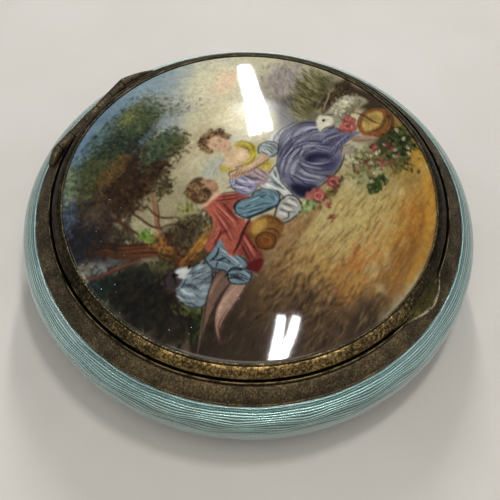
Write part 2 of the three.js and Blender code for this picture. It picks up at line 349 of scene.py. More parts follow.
def hinge_end(node, far, tip):
    """A tapered stop, turned with its thick end at the barrel, then bent round the rim."""
    left, right = (corner.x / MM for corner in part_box(node))
    near = left if far > 0 else right
    outline = [(0, near), (TUBE_R, near, MOUTH)]
    for share in TAPER_SHARES:
        outline.append((TUBE_R + (tip - TUBE_R) * share ** 1.6, near + share * (far - near)))
    work = along_x(turned(outline + [(tip * 0.75, far), (0, far)], steps=BARREL_STEPS), PIN_PLACE)
    for vertex in work.verts:
        across = vertex.co.x / MM
        share = max(0.0, (across - near) / (far - near))
        vertex.co.y += min(0.0, math.sqrt(END_PATH_R ** 2 - across ** 2) - PIN_PLACE.y) * MM
        vertex.co.z -= END_DROP * share ** 1.5 * MM
    return placed(shown(node + "_fine", work), "box", "tarnished_gilt", node)


box_knuckles = [knuckle(n, "box") for n in ("knuckle_left", "knuckle_middle", "knuckle_right")]
hinge_ends = [hinge_end("hinge_end_left", -7.7, 0.42), hinge_end("hinge_end_right", 9.6, 0.2)]
pin_half = pin_high.x / MM
pin_r = (pin_high.z - pin_low.z) / 2 / MM
hinge_pin = shown("hinge_pin_fine", along_x(turned([
    (0, -pin_half), (pin_r, -pin_half, 0.08), (pin_r, pin_half, 0.08), (0, pin_half)],
    steps=48), PIN_PLACE))
placed(hinge_pin, "box", "pin_metal", "hinge_pin")

# %% [markdown]
# The lid's two knuckles hold on to the lid by a small tab, brazed under the lip. The tab is
# a cube scaled to size with bevelled edges, and it is joined to the tube by a boolean union
# so that each knuckle is one closed skin.

# %% Lid knuckles with their tabs
TAB_DEEP, TAB_TALL = 0.54, 0.25
TAB_PLACE = PIN_PLACE + Vector((0, -0.68, 0.375))     # towards the lid and above the pin


def lid_knuckle(node):
    """A bored tube with a tab towards the lid."""
    left, right = (corner.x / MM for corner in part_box(node))
    tab = bmesh.new()
    bmesh.ops.create_cube(tab, size=1.0)
    bmesh.ops.scale(tab, verts=tab.verts[:], vec=Vector((right - left, TAB_DEEP, TAB_TALL)) * MM)
    bmesh.ops.bevel(tab, geom=tab.edges[:], offset=0.03 * MM, offset_type="OFFSET", segments=2,
                    profile=0.5, affect="EDGES", material=-1)
    middle = Vector(((left + right) / 2, TAB_PLACE.y, TAB_PLACE.z)) * MM
    bmesh.ops.translate(tab, verts=tab.verts[:], vec=middle)
    made = knuckle(node, "lid")
    return combined(made, [shown(node + "_tab", tab)], "UNION")


lid_knuckles = [lid_knuckle("lid_knuckle_left"), lid_knuckle("lid_knuckle_right")]

# %% [markdown]
# ## The rim plate
# A sloping band of gilt metal leads from the enamel up to the lid. Its slope is very
# slightly crowned, and a thin step at its outer edge holds the enamel. At the back the
# barrel lies in a trough. The trough is cut by a turned tool of the new barrel's shape, a
# little wider, which is the safest way to get an even gap all round it.

# %% Rim plate with the barrel's trough
BARREL_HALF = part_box("knuckle_right")[1].x / MM
END_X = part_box("hinge_end_right")[1].x / MM
END_TIP_R = 0.45
BARREL_ROOM = 0.06           # gap between the new barrel and its trough


def trough_tool(room):
    """A turned tool shaped like the whole barrel, wider by room in mm."""
    tip = END_X + room
    outline = [(0, -tip), (END_TIP_R + room, -tip), (BARREL_R + room, -BARREL_HALF),
               (BARREL_R + room, BARREL_HALF), (END_TIP_R + room, tip), (0, tip)]
    return shown("trough_tool", along_x(turned(outline, steps=96), PIN_PLACE))


SLOPE_FLAT_R = 20.95
CUT_EDGE = 0.03              # rounding of a freshly cut edge
rim_plate = shown("rim_plate_fine", turned([
    (COLLAR_R + 0.05, RIM_BOTTOM), (RIM_R - 0.21, RIM_BOTTOM), (RIM_R, SHOULDER_Z + 0.02, 0.05),
    (RIM_R - 0.1, SHOULDER_Z + 0.17, 0.03), (RIM_R - 0.2, SHOULDER_Z + 0.17, 0.03),
    (22.02, 9.44), (21.78, 9.66), (21.5, 9.88), (21.24, 10.07), (SLOPE_FLAT_R, RIM_TOP, 0.12),
    (COLLAR_R + 0.05, RIM_TOP)]))
combined(rim_plate, [trough_tool(BARREL_ROOM)], softened=CUT_EDGE)
placed(rim_plate, "box", "tarnished_gilt", "rim_plate")

# %% [markdown]
# ## The lid frame
# The lid is one spun ring: a low lip at the bottom, a groove, and a sloping bezel that
# rises to the plaque. The lip has a thin raised edge that stays bright where fingers touch
# it. Inside, a ledge carries the plaque. A wider trough is cut at the back, so that the lid
# can swing past the barrel.

# %% Lid frame
LID_INNER_R = 19.1
SEAT_H = 0.9
SEAT_INNER_R = 18.2
POCKET_R = 19.6
SWING_ROOM = 0.3             # gap that lets the lid turn past the barrel
bezel_h = BEZEL_TOP - LID_Z


def above_lid(points):
    """Lifts an outline whose heights are above the lid's underside."""
    return [(p[0], p[1] + LID_Z, *p[2:]) for p in points]


lid_frame = shown("lid_frame_fine", turned(above_lid([
    (LID_INNER_R, 0, 0.05), (LID_R - 0.02, 0, 0.1), (LID_R, 0.3), (LID_R, 0.57, 0.07),
    (LID_R - 0.13, 0.57, 0.05), (LID_R - 0.2, 0.5, 0.02), (20.6, 0.44, 0.03), (20.52, 0.44, 0.03),
    (20.46, 0.68, 0.05), (20.38, 0.86), (20.24, 1.1), (20.08, 1.3), (19.92, 1.45),
    (19.74, bezel_h, 0.05), (POCKET_R, bezel_h, 0.03), (POCKET_R, SEAT_H),
    (SEAT_INNER_R, SEAT_H, 0.04), (SEAT_INNER_R, SEAT_H - 0.18, 0.04),
    (LID_INNER_R, SEAT_H - 0.18)]), steps=320))
combined(lid_frame, [trough_tool(SWING_ROOM)], softened=CUT_EDGE)
placed(lid_frame, "lid", "old_gilt", "lid_frame")

# %% [markdown]
# ## The thumbpiece
# A small swelling at the front gives the thumb something to lift. It is one section spun
# through a short arc, and then every vertex is drawn back towards the lid by a cosine of its
# place along the arc, so the swelling fades into the lip at both ends. The same number sinks
# its top, so that it rises smoothly out of the bezel. Before anything moves, each vertex notes
# whether it lies on the outer edge, where thumbs have rubbed the metal bright.

# %% Thumbpiece
THUMB_REACH = -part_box("thumbpiece")[0].y / MM
THUMB_HALF = math.radians(13.5)
THUMB_ROOT = 20.6
work = section(above_lid([
    (20.30, 0.34), (THUMB_ROOT, 0.08), (THUMB_REACH - 0.12, 0.04, 0.1), (THUMB_REACH, 0.2, 0.14),
    (THUMB_REACH - 0.03, 0.42, 0.15), (THUMB_REACH - 0.45, 0.53, 0.1), (21.0, 0.61, 0.1),
    (20.62, 0.72, 0.12), (20.36, 0.9)]))
bmesh.ops.rotate(work, verts=work.verts[:], cent=(0, 0, 0),
                 matrix=Matrix.Rotation(-math.pi / 2 - THUMB_HALF, 3, "Z"))
bmesh.ops.spin(work, geom=work.faces[:], cent=(0, 0, 0), axis=(0, 0, 1), angle=2 * THUMB_HALF,
               steps=72, use_merge=False, use_duplicate=False)
rubbed = work.verts.layers.float.new("rubbed")
for vertex in work.verts:
    turn = math.atan2(vertex.co.x, -vertex.co.y) / THUMB_HALF
    swell = (1 + math.cos(math.pi * turn)) / 2
    radius = math.hypot(vertex.co.x, vertex.co.y) / MM
    edge = min(1.0, max(0.0, (radius - THUMB_REACH + 0.3) / 0.2))
    vertex[rubbed] = edge * min(1.0, max(0.0, (vertex.co.z / MM - LID_Z - 0.2) / 0.15))
    drawn = THUMB_ROOT + (radius - THUMB_ROOT) * (0.12 + 0.88 * swell) - 0.1 * (1 - swell)
    if radius < THUMB_ROOT:
        drawn = radius
    vertex.co.x *= drawn / radius
    vertex.co.y *= drawn / radius
    lift = max(0.0, vertex.co.z / MM - LID_Z - 0.4)
    vertex.co.z -= lift * (1 - swell) * 0.85 * MM
bmesh.ops.recalc_face_normals(work, faces=work.faces[:])
thumbpiece = shown("thumbpiece_fine", work, sharp_above=60)
placed(thumbpiece, "lid", "tarnished_gilt", "thumbpiece")

# %% [markdown]
# ## The plaque and its layers
# The plaque is a stack: enamel on the back, a copper plate, and the painted enamel on top,
# all domed alike. The hidden layers are simple turned plates. The painted one needs many
# evenly spread vertices, because its picture is stored on them. So it starts as a square
# grid whose points are moved on to the disc, and only its edge and underside are extruded.
# The gilt lining that hides the stack from inside is one more plate of the same kind.

# %% Hidden layers and the lining
def cap_height(radius, edge_radius, rise):
    """Height of a spherical cap above its edge, all in mm."""
    sphere = (edge_radius ** 2 + rise ** 2) / (2 * rise)
    return math.sqrt(sphere ** 2 - radius ** 2) - (sphere - rise)


DOME_RINGS = 36


def domed_plate(edge_radius, edge_z, rise, thickness):
    """Outline of a domed plate whose upper surface ends at edge_radius and edge_z."""
    radii = [edge_radius * i / DOME_RINGS for i in range(DOME_RINGS + 1)]
    top = [(radius, edge_z + cap_height(radius, edge_radius, rise)) for radius in radii]
    under = [(r, z - thickness) for r, z in top]
    return under + [(edge_radius, edge_z - thickness / 2)] + top[::-1]


DOME_RISE = 2.3
PAINT_EDGE_Z = PLAQUE_TOP - DOME_RISE
PAINT_T, COPPER_T, COUNTER_T, LAYER_GAP = 0.22, 0.2, 0.12, 0.03
copper_edge_z = PAINT_EDGE_Z - PAINT_T - LAYER_GAP
counter_edge_z = copper_edge_z - COPPER_T - LAYER_GAP
plaque_copper = shown("plaque_copper_fine", turned(
    domed_plate(PLAQUE_R, copper_edge_z, DOME_RISE, COPPER_T), steps=128))
placed(plaque_copper, "lid", "copper", "plaque_copper")
counter_enamel = shown("counter_enamel_fine", turned(
    domed_plate(PLAQUE_R, counter_edge_z, DOME_RISE, COUNTER_T), steps=128))
placed(counter_enamel, "lid", "counter_enamel", "counter_enamel")
LINING_RISE, LINING_T = 1.6, 0.2
lid_lining = shown("lid_lining_fine", turned(
    domed_plate(LINING_R, LINING_TOP - LINING_RISE, LINING_RISE, LINING_T)))
placed(lid_lining, "lid", "gilt", "lid_lining")

# %% The painted plate
GRID = 300                   # squares along each side of the grid
EDGE_ROLL = 0.3              # width in mm over which the enamel rolls down at its edge
EDGE_SINK = 0.1              # how far it has rolled down at the very edge


def painted_height(radius):
    """Height in mm of the painted surface, with its rolled edge."""
    roll = max(0.0, (radius - (PLAQUE_R - EDGE_ROLL)) / EDGE_ROLL)
    return PAINT_EDGE_Z + cap_height(min(radius, PLAQUE_R), PLAQUE_R, DOME_RISE) - EDGE_SINK * roll ** 2


work = bmesh.new()
bmesh.ops.create_grid(work, x_segments=GRID, y_segments=GRID, size=1.0)
for vertex in work.verts:
    u, v = vertex.co.x, vertex.co.y
    x = u * math.sqrt(1 - v * v / 2) * PLAQUE_R
    y = v * math.sqrt(1 - u * u / 2) * PLAQUE_R
    vertex.co = Vector((x, y, painted_height(math.hypot(x, y)))) * MM
edge = [e for e in work.edges if e.is_boundary]
for radius in (PLAQUE_R, PLAQUE_R * 0.66, PLAQUE_R * 0.33):
    ring = bmesh.ops.extrude_edge_only(work, edges=edge)["geom"]
    edge = [e for e in ring if isinstance(e, bmesh.types.BMEdge) and e.is_boundary]
    for vertex in {v for e in edge for v in e.verts}:
        flat = vertex.co.xy.normalized() * radius
        height = PAINT_EDGE_Z - PAINT_T + cap_height(radius, PLAQUE_R, DOME_RISE)
        vertex.co = Vector((flat.x, flat.y, height)) * MM
pole = work.verts.new(Vector((0, 0, PLAQUE_TOP - PAINT_T)) * MM)
for e in edge:
    work.faces.new((*e.verts, pole))
bmesh.ops.recalc_face_normals(work, faces=work.faces[:])
plaque_enamel = shown("painted_enamel_fine", work)
placed(plaque_enamel, "lid", "painted_enamel", "painted_enamel")

# %% [markdown]
# ## The setting
# A thin gilt lip is rubbed down over the plaque's edge with a burnisher. Nobody rubs it
# perfectly evenly, so its inner edge wavers by a few hundredths of a millimetre. The ring is
# turned true and then its upper vertices are moved by a slow noise round the ring.

# %% Setting ring
ring_work = turned(above_lid([
    (PLAQUE_R + 0.04, SEAT_H + 0.04), (POCKET_R - 0.04, SEAT_H + 0.04), (POCKET_R - 0.04, 1.54),
    (POCKET_R - 0.04, 1.61, 0.03), (PLAQUE_R + 0.1, 1.67, 0.04), (PLAQUE_R - 0.04, 1.64, 0.025),
    (PLAQUE_R - 0.03, 1.59, 0.015), (PLAQUE_R + 0.04, 1.50)]), steps=384)
for vertex in ring_work.verts:
    height = vertex.co.z / MM - LID_Z
    if height > 1.56:
        spot = Vector((vertex.co.x, vertex.co.y, 0)) / MM
        waver = noise.noise(spot * 0.35) * 0.05 + noise.noise(spot * 1.7) * 0.02
        share = max(0.0, PLAQUE_R + 0.16 - spot.length) / 0.2
        vertex.co.xy *= 1 + waver * share / PLAQUE_R
setting_ring = shown("setting_ring_fine", ring_work)
placed(setting_ring, "lid", "gilt", "setting_ring")

# %% [markdown]
# ## Painting the plaque
# On the real plaque a painter lays washes of ground glass first, then builds trees, cloth and
# skin from small dabs, and last draws dark outlines with a fine brush, firing the plate in
# between. The same order works here. A small canvas in memory holds the colours, a few
# helpers stand for the brushes, and every shape is given by a handful of points in
# millimetres from the plaque's middle, with +Y towards the hinge. The two faces are general
# ones, calm and evenly proportioned, drawn after a drawing manual's rule of halves and thirds.

# %% The canvas and its brushes
CELLS = 1000                 # canvas squares along each side
CANVAS_HALF = 19.6           # half of the canvas's side in mm
CELL = 2 * CANVAS_HALF / CELLS
chance = np.random.default_rng(11)
canvas = np.zeros((CELLS, CELLS, 3))
axis_mm = (np.arange(CELLS) + 0.5) * CELL - CANVAS_HALF
SCREEN_POWER = 2.2           # turns a screen value into a share of light


def pigment(code):
    """A pigment from its six-figure colour code, as three shares."""
    return np.array([int(code[i:i + 2], 16) / 255 for i in (0, 2, 4)])


def window(low, high):
    """The part of the canvas between two corners in mm, as slices and coordinates."""
    i0, j0 = (max(0, int((c + CANVAS_HALF) / CELL)) for c in low)
    i1, j1 = (min(CELLS, int((c + CANVAS_HALF) / CELL) + 2) for c in high)
    return (slice(j0, j1), slice(i0, i1)), axis_mm[None, i0:i1], axis_mm[j0:j1, None]


def lay(part, cover, colour):
    """Lays a colour over part of the canvas, as thickly as cover says."""
    canvas[part] += cover[..., None] * (colour - canvas[part])


FLOW_STEPS = 6               # steps from one point of a line to the next


def flowing(points, closed=False):
    """A smooth line through a few given points."""
    p = np.array(points, float)
    if closed:
        p = np.vstack([p[-1], p, p[:2]])
    else:
        p = np.vstack([2 * p[0] - p[1], p, 2 * p[-1] - p[-2]])
    t = np.linspace(0, 1, FLOW_STEPS, endpoint=False)[:, None]
    pieces = [0.5 * (2 * b + (c - a) * t + (2 * a - 5 * b + 4 * c - d) * t ** 2
                     + (3 * b - a - 3 * c + d) * t ** 3)
              for a, b, c, d in zip(p[:-3], p[1:-2], p[2:-1], p[3:])]
    return np.vstack(pieces + ([] if closed else [p[-2:-1]]))


def softened(mask, cells):
    """Blurs a mask by three passes of a running mean."""
    width = int(cells)
    for axis in (0, 1) * 3:
        if width < 1:
            break
        padded = np.pad(mask, [(width, width) if a == axis else (0, 0) for a in (0, 1)], "edge")
        total = np.cumsum(padded, axis=axis)
        size = mask.shape[axis]
        high = np.take(total, range(2 * width, 2 * width + size), axis=axis)
        low = np.take(total, range(0, size), axis=axis)
        mask = (high - low) / (2 * width)
    return mask


def mottling(scale, seed):
    """A canvas-wide field from 0 to 1 whose spots are about scale mm across."""
    rough = np.random.default_rng(seed).random((CELLS, CELLS))
    soft = softened(rough, max(1, scale / CELL / 2.5))
    return np.clip(0.5 + (soft - soft.mean()) / (soft.std() * 4.5), 0, 1)


FINE, BROAD = mottling(0.16, 5), mottling(0.9, 6)


def fill(points, code, soft, opacity=1.0, mottled=0.12):
    """Fills a closed shape with soft edges and slightly uneven pigment."""
    line = flowing(points, closed=True)
    edge = 3 * soft + 0.2
    part, xs, ys = window(line.min(0) - edge, line.max(0) + edge)
    inside = np.zeros((ys.shape[0], xs.shape[1]), bool)
    for (x0, y0), (x1, y1) in zip(line, np.roll(line, -1, axis=0)):
        if y0 != y1:
            crossed = (ys > min(y0, y1)) & (ys <= max(y0, y1))
            inside ^= crossed & (xs > x0 + (ys - y0) / (y1 - y0) * (x1 - x0))
    cover = softened(inside.astype(float), soft / CELL) * opacity
    uneven = 1 + mottled * (FINE[part] + BROAD[part] - 1)
    lay(part, cover, pigment(code) * uneven[..., None])


def wash(x, y, wide, tall, code, opacity=0.9, turn=0.0):
    """A soft-edged oval of colour, for skies, ground and haze."""
    reach = 1.6 * max(wide, tall)
    part, xs, ys = window((x - reach, y - reach), (x + reach, y + reach))
    c, s = math.cos(math.radians(turn)), math.sin(math.radians(turn))
    along, across = (xs - x) * c + (ys - y) * s, (ys - y) * c - (xs - x) * s
    far = np.sqrt((along / wide) ** 2 + (across / tall) ** 2) + 0.35 * (BROAD[part] - 0.5)
    lay(part, opacity * np.clip(1.5 - far, 0, 1) ** 1.5 * np.clip(1.6 - far, 0, 1), pigment(code))


def stroke(points, code, width, opacity, taper=0.75, wobble=0.25):
    """A brush line through a few points, thick in the middle and thin at its ends."""
    line = flowing(points)
    edge = width + 0.1
    part, xs, ys = window(line.min(0) - edge, line.max(0) + edge)
    best = np.full((ys.shape[0], xs.shape[1]), -1.0)
    steps = len(line) - 1
    for k in range(steps):
        (x0, y0), (x1, y1) = line[k], line[k + 1]
        dx, dy = x1 - x0, y1 - y0
        t = np.clip(((xs - x0) * dx + (ys - y0) * dy) / (dx * dx + dy * dy + 1e-12), 0, 1)
        far = np.hypot(xs - x0 - t * dx, ys - y0 - t * dy)
        place = (k + t) / steps
        half = width / 2 * (1 - taper * np.abs(2 * place - 1) ** 2.5)
        best = np.maximum(best, (half - far) / 0.05 + 0.5)
    cover = np.clip(best, 0, 1) * opacity * (1 - wobble * FINE[part])
    lay(part, cover, pigment(code))


def dabs(x, y, wide, tall, count, palette, size, long, turn, swing, opacity, lean=0.0):
    """Scatters small brush dabs of mixed colours over an oval. A dab is long times as long as
    it is wide and lies within swing degrees of turn, and the oval leans by lean degrees."""
    inks = [pigment(code) for code in palette.split()]
    for _ in range(count):
        u, v = np.clip(chance.normal(0, 0.5, 2), -1.3, 1.3) * (wide, tall)
        c, s = math.cos(math.radians(lean)), math.sin(math.radians(lean))
        px, py = x + u * c - v * s, y + u * s + v * c
        half = size * (0.5 + chance.random())
        tilt = math.radians(turn + swing * (2 * chance.random() - 1))
        reach = half * long
        part, xs, ys = window((px - reach, py - reach), (px + reach, py + reach))
        if 0 in (xs.shape[1], ys.shape[0]):
            continue
        along = (xs - px) * math.cos(tilt) + (ys - py) * math.sin(tilt)
        across = (ys - py) * math.cos(tilt) - (xs - px) * math.sin(tilt)
        near = 1 - (along / (half * long)) ** 2 - (across / half * 1.3) ** 2
        ink = inks[chance.integers(len(inks))] * (0.9 + 0.2 * chance.random())
        lay(part, np.clip(near * 2, 0, 1) * opacity, ink)


print(f"canvas: {CELLS} squares across, {CELL:.3f} mm each")

# %% [markdown]
# ### Sky and ground
# The sky goes from slate blue at the top rim to warm cream behind the figures, and the ground
# from deep brown at the left through straw yellow to orange and gold near the edge. Broad
# soft ovals give the big changes. Short level strokes over the ground look like trodden grass.

# %% Sky and ground washes
canvas[:] = pigment("b6af92")
for place in [(-7, 17.5, 9, 4.5, "60788f"), (2, 19, 8, 3, "6a8090"), (8, 17, 6, 4.5, "86989f"),
              (3.4, 12.8, 5.5, 4, "8f9797"), (13, 12, 5, 5, "bebda8"), (9.6, 10.5, 5.6, 4.2, "d2cbac"),
              (10.8, 10.2, 2.6, 1.3, "e2c6a8"), (4.5, 8.5, 4, 3, "c4bc9e"), (0, 6.5, 6, 3, "bab294"),
              (0.5, 8.2, 4, 1.5, "b0a587"), (6.6, 6.6, 2.6, 2.4, "dbd2ac"),
              (-7, 6, 5, 3.5, "938c6e"), (7.5, 4.9, 3.4, 3, "dcd3b0"), (-0.5, 4, 2.2, 1.4, "a9ab9c"),
              (-15.5, 6.8, 2.6, 2, "75797a"), (13.8, 5.5, 5, 3, "969082"), (15.8, 9, 3, 3, "bdb79c"),
              (11.5, 3.2, 2.4, 1.6, "6d6a66"), (9.6, 1.6, 2.2, 1, "6a6869")]:
    wash(*place)
for place in [(-14, -8, 9, 8, "33281f"), (-8, -9, 5, 4, "5f4b36"), (-4, -8.5, 5, 3, "96744c"),
              (-9, -15.5, 7, 4.5, "49392b"), (2.4, -9.5, 7.4, 4, "b3a574"), (4, -11.5, 7, 3, "ad9f6a"),
              (9, -9.5, 4, 2.6, "8d8a64"), (-3.5, -11.5, 4, 3, "a58450"), (-3.5, -14, 4, 2.5, "95693a"),
              (3.6, -13.6, 8, 3, "b0945a"), (9, -15.5, 8, 3, "a2773a"), (2, -17.5, 7, 2, "825e34"),
              (11.5, -12.3, 3.6, 2.4, "8d7440"), (-5.8, -17.2, 3.4, 1.7, "42362c"),
              (14.5, -11.5, 3, 2.4, "a07c38"), (-16, 0, 4.5, 7, "1f1813"),
              (-11.5, -0.5, 5, 2, "4b3824"), (0, -6.6, 6, 1.2, "8a6d4c"),
              (14.5, -8.8, 4.5, 2.8, "35341f"), (17.8, -3, 2, 5, "33271a")]:
    wash(*place)
dabs(2, -12, 13, 6.5, 1500, "b9a873 93793f ab925a c6b584 84693d", 0.14, 5, 0, 9, 0.2)
dabs(7, -16, 9, 2.6, 500, "a5702c 8c5a26 b98a46 75491f", 0.14, 6, 6, 8, 0.26)
dabs(-9, -12, 7, 5.5, 900, "3a2c22 5d4833 2a2019 6d5640", 0.16, 3, 0, 25, 0.3)
dabs(9, 10, 8, 6, 900, "e0d6ac b9b08c cfc59b 8f8d7c", 0.13, 1.5, 30, 90, 0.16)
dabs(2, -9.5, 6, 1.8, 240, "c6b884 8e7a4c b5a06a", 0.12, 6, 0, 6, 0.28)
wash(2.4, -12.2, 6.6, 2.8, "b5a976", 0.4)
dabs(0, -11.5, 9, 4, 60, "6b5334 5a4630", 0.09, 9, 0, 6, 0.45)
dabs(1, -12, 10, 3.4, 90, "77603a 604a30", 0.07, 7, 0, 8, 0.5)
dabs(-1, -13.4, 3.4, 1.6, 90, "b26a36 9c5c30", 0.13, 6, 0, 8, 0.3)
GOLD_EDGE_R = 18.6           # a gold glow follows the edge of the plaque at this radius
for k in range(15):
    turn = math.radians(-88 + 4.6 * k)
    x, y = GOLD_EDGE_R * math.cos(turn), GOLD_EDGE_R * math.sin(turn)
    wash(x, y, 1.5, 0.75, "b98f3e", 0.38, math.degrees(turn) + 90)

# %% [markdown]
# ### Trees
# Foliage is a mass of dabs, dark and cool first, then warmer and lighter ones that are
# smaller and sit where light would catch. The trunk and its branches are drawn between the
# two, so that some leaves lie in front of the wood.

# %% Foliage, trunk and branches
def leaves(x, y, wide, tall, count, palette, size, opacity, lean=0.0):
    """Dabs that point every way, as leaves do."""
    dabs(x, y, wide, tall, count, palette, size, 1.5, 30, 90, opacity, lean)


for place in [(-2.5, 14.9, 4.6, 2.9, "3b4540"), (-7.5, 14.3, 3.8, 2.4, "434430"),
              (1.4, 15.1, 2.6, 2.1, "535b42"), (-6.5, 10.6, 6.4, 3.0, "33261a"),
              (-14, 10.5, 4, 3.6, "2a2628"), (-1, 10.3, 2.4, 1.5, "3d4a38"),
              (-11.8, 13.2, 2.6, 1.8, "3a372f"), (-16, 3, 3.6, 3, "2c2e26"),
              (-9.2, 2.2, 3.4, 2, "40352a")]:
    wash(*place, 1.0)
leaves(-3, 14.6, 5.4, 2.5, 1500, "252e2b 212827 353f30 303c38", 0.2, 0.5)
dabs(-2.5, 17, 6, 1.0, 420, "5a6c66 50625c 6f8088 465a50", 0.16, 1.5, 20, 90, 0.4)
leaves(-7.2, 14.8, 3.8, 2.0, 900, "3d4329 4e5236 2e3426 5f5f40", 0.16, 0.5)
leaves(1.2, 15.2, 3.0, 2.1, 900, "465038 595e40 35402f 666a48", 0.16, 0.5)
leaves(0.8, 16.3, 1.5, 0.9, 150, "787a48 8a8850 5c6440", 0.12, 0.45)
leaves(4.0, 15.6, 1.3, 1.6, 150, "6d776a 7d8780 5c665a", 0.13, 0.4)
dabs(-6.5, 10.8, 6.4, 2.3, 1700, "31241a 3f2e1e 4c3a26 281e18", 0.19, 1.6, 30, 90, 0.45)
dabs(-6.4, 13.2, 2.6, 1.0, 420, "55452a 665232 403623 7a6238", 0.15, 1.6, 20, 90, 0.45)
leaves(-1.3, 10.6, 2.6, 1.5, 620, "3c4a38 4d5a44 2f3b30 5f6b50", 0.16, 0.5)
wash(2.2, 12.6, 2.4, 0.6, "8b9497", 0.75, 4)
dabs(-0.4, 12.7, 2, 0.4, 60, "6c7a80 59686c 4c5a58", 0.14, 1.6, 10, 90, 0.45)
leaves(-14, 10.8, 3.2, 2.6, 700, "262426 332e2e 2d3340 201e20", 0.2, 0.45)
dabs(-12.8, 14.0, 2.2, 1.0, 300, "4a586c 38424e 2f3434 5b6a80", 0.16, 1.5, 40, 90, 0.45, 35)
leaves(-11.2, 11.4, 1.8, 1.4, 260, "54483a 463a2e 5d5246", 0.16, 0.4)
leaves(-9.5, 16.2, 3.6, 1.2, 260, "50625a 3e4d45 6d7b5c 8a8d5f", 0.16, 0.45, 22)
leaves(0.2, 9.2, 1.5, 0.8, 240, "6b6844 4c4e34 3a3c2a", 0.14, 0.45)
dabs(-6, 9, 4.6, 1.3, 420, "3a2a1a 57452a 241b13", 0.17, 1.6, 20, 90, 0.5)
dabs(-11.9, 7.3, 1.0, 1.6, 260, "3b3528 4a4433 2d281f 5d583f", 0.15, 1.6, 80, 60, 0.55)
dabs(-12.2, 5.4, 0.9, 0.9, 90, "3a2c20 46362a", 0.14, 1.6, 80, 60, 0.5)
dabs(-5.2, 7.2, 1.2, 0.9, 130, "2e281d 4b4532 5d5638", 0.15, 1.6, 20, 90, 0.6)
dabs(4.2, 13, 1.6, 1.4, 90, "6c705c 555b48 84866c", 0.15, 1.4, 30, 90, 0.4)
dabs(5.8, 11.6, 2.2, 1.2, 26, "555349 6c6a5c", 0.11, 2.2, 20, 40, 0.5)
leaves(-17.4, 5.8, 1.6, 1.6, 260, "1d2c2a 2b3a32 141b19", 0.2, 0.5)
dabs(-16.6, 1.5, 2.6, 4, 700, "181511 25201a 2c2c20", 0.24, 1.8, 10, 60, 0.5)
fill([(-14.3, 9.6), (-13.2, 8.9), (-12.6, 6.5), (-11.4, 4.9), (-10.1, 4.4), (-9.4, 3.6), (-9.2, 1.2),
      (-8.3, 0.0), (-12, -0.2), (-11.9, 2.6), (-13.3, 4.6), (-14.2, 6.3), (-15, 9.2)],
     "4f3220", 0.14, 0.9)
for bark in [((-14.4, 9), (-13.5, 6.6), (-12.2, 4.7), (-11.2, 2.4), (-11, 0.4)),
             ((-13.7, 8.6), (-13, 6.5), (-11.7, 4.6), (-10.6, 2.6), (-10, 0.6)),
             ((-13.4, 5.4), (-12.2, 3.7), (-11.6, 1.6))]:
    stroke(bark, "7c5230", 0.3, 0.5)
    stroke([(x + 0.3, y - 0.1) for x, y in bark], "2b170d", 0.2, 0.7)
dabs(-10.9, 3.2, 0.9, 1.6, 90, "a07038 7c5430 b08448", 0.11, 3, 70, 20, 0.5)
dabs(-13.9, 9.0, 1.5, 0.9, 260, "2c2522 3a2e26 231f20 45362a", 0.18, 1.6, 60, 60, 0.5)
dabs(-13.2, 7.2, 0.8, 1.0, 60, "3a2a20 2e2320", 0.13, 2.5, 110, 25, 0.45)
stroke([(-10, 3.6), (-9.3, 4.9), (-8.3, 5.8), (-6.4, 7.8)], "83614a", 0.55, 0.95, 0.5)
stroke([(-9.7, 3.9), (-9, 5), (-7.9, 5.8), (-6.3, 7.4)], "4a2d1d", 0.14, 0.8)
stroke([(-17.6, 7.8), (-16.4, 6.5), (-15, 5.6), (-13.2, 4.1)], "6e4a3c", 0.5, 0.9, 0.6)
stroke([(-17.5, 7.5), (-16.2, 6.2), (-14.9, 5.3), (-13.4, 4)], "3c241a", 0.14, 0.7)
for twig, width in [(((-11, 10.5), (-10.8, 8.4), (-11.1, 6)), 0.42),
                    (((-9.3, 9), (-9.4, 7.2), (-9.6, 5.5), (-9.2, 4.2)), 0.3),
                    (((-7.9, 7.4), (-8.3, 6), (-8.2, 5), (-7.5, 3.8), (-7.4, 2.4)), 0.26),
                    (((-9.2, 4.6), (-8.3, 3.7), (-7.8, 2.4), (-7.8, 1.2)), 0.26),
                    (((-12.2, 10), (-11.6, 8.6)), 0.22), (((-7, 6.6), (-6.2, 6.8), (-5.6, 7.5)), 0.2),
                    (((-8.8, 8.8), (-8.6, 7.2)), 0.16)]:
    stroke(twig, "4a3122", width, 0.9, 0.6)
dabs(-10.8, 5.2, 0.7, 1, 70, "5c8038 76903f 3f5a2a", 0.14, 1.5, 80, 40, 0.6)
dabs(-6, 3.4, 1.3, 1.2, 110, "8a8a50 a39f62 5d5c38", 0.15, 1.6, 60, 50, 0.5)
dabs(-8.8, 2.0, 2, 1.5, 280, "3a3024 504432 2b231b 665a40", 0.16, 1.8, 20, 60, 0.6)
dabs(-6.6, 1.2, 1.6, 1.1, 200, "4c432e 352c20 6a6044", 0.15, 1.6, 40, 60, 0.5)
dabs(-8.6, 0.2, 2.6, 0.5, 110, "9a6f34 6e4c26 b48842", 0.13, 3, 0, 15, 0.5)
dabs(-12.6, 1.9, 1.2, 1.4, 120, "3b3a24 50502f 282517", 0.16, 1.6, 40, 60, 0.5)
dabs(-14.8, -2.9, 1.0, 1.6, 90, "565f34 69713c 3e4424", 0.14, 2, 70, 30, 0.5)
dabs(-16, -4.6, 2.4, 1, 120, "262b1c 3c4428 181712", 0.17, 2.4, 20, 30, 0.5)

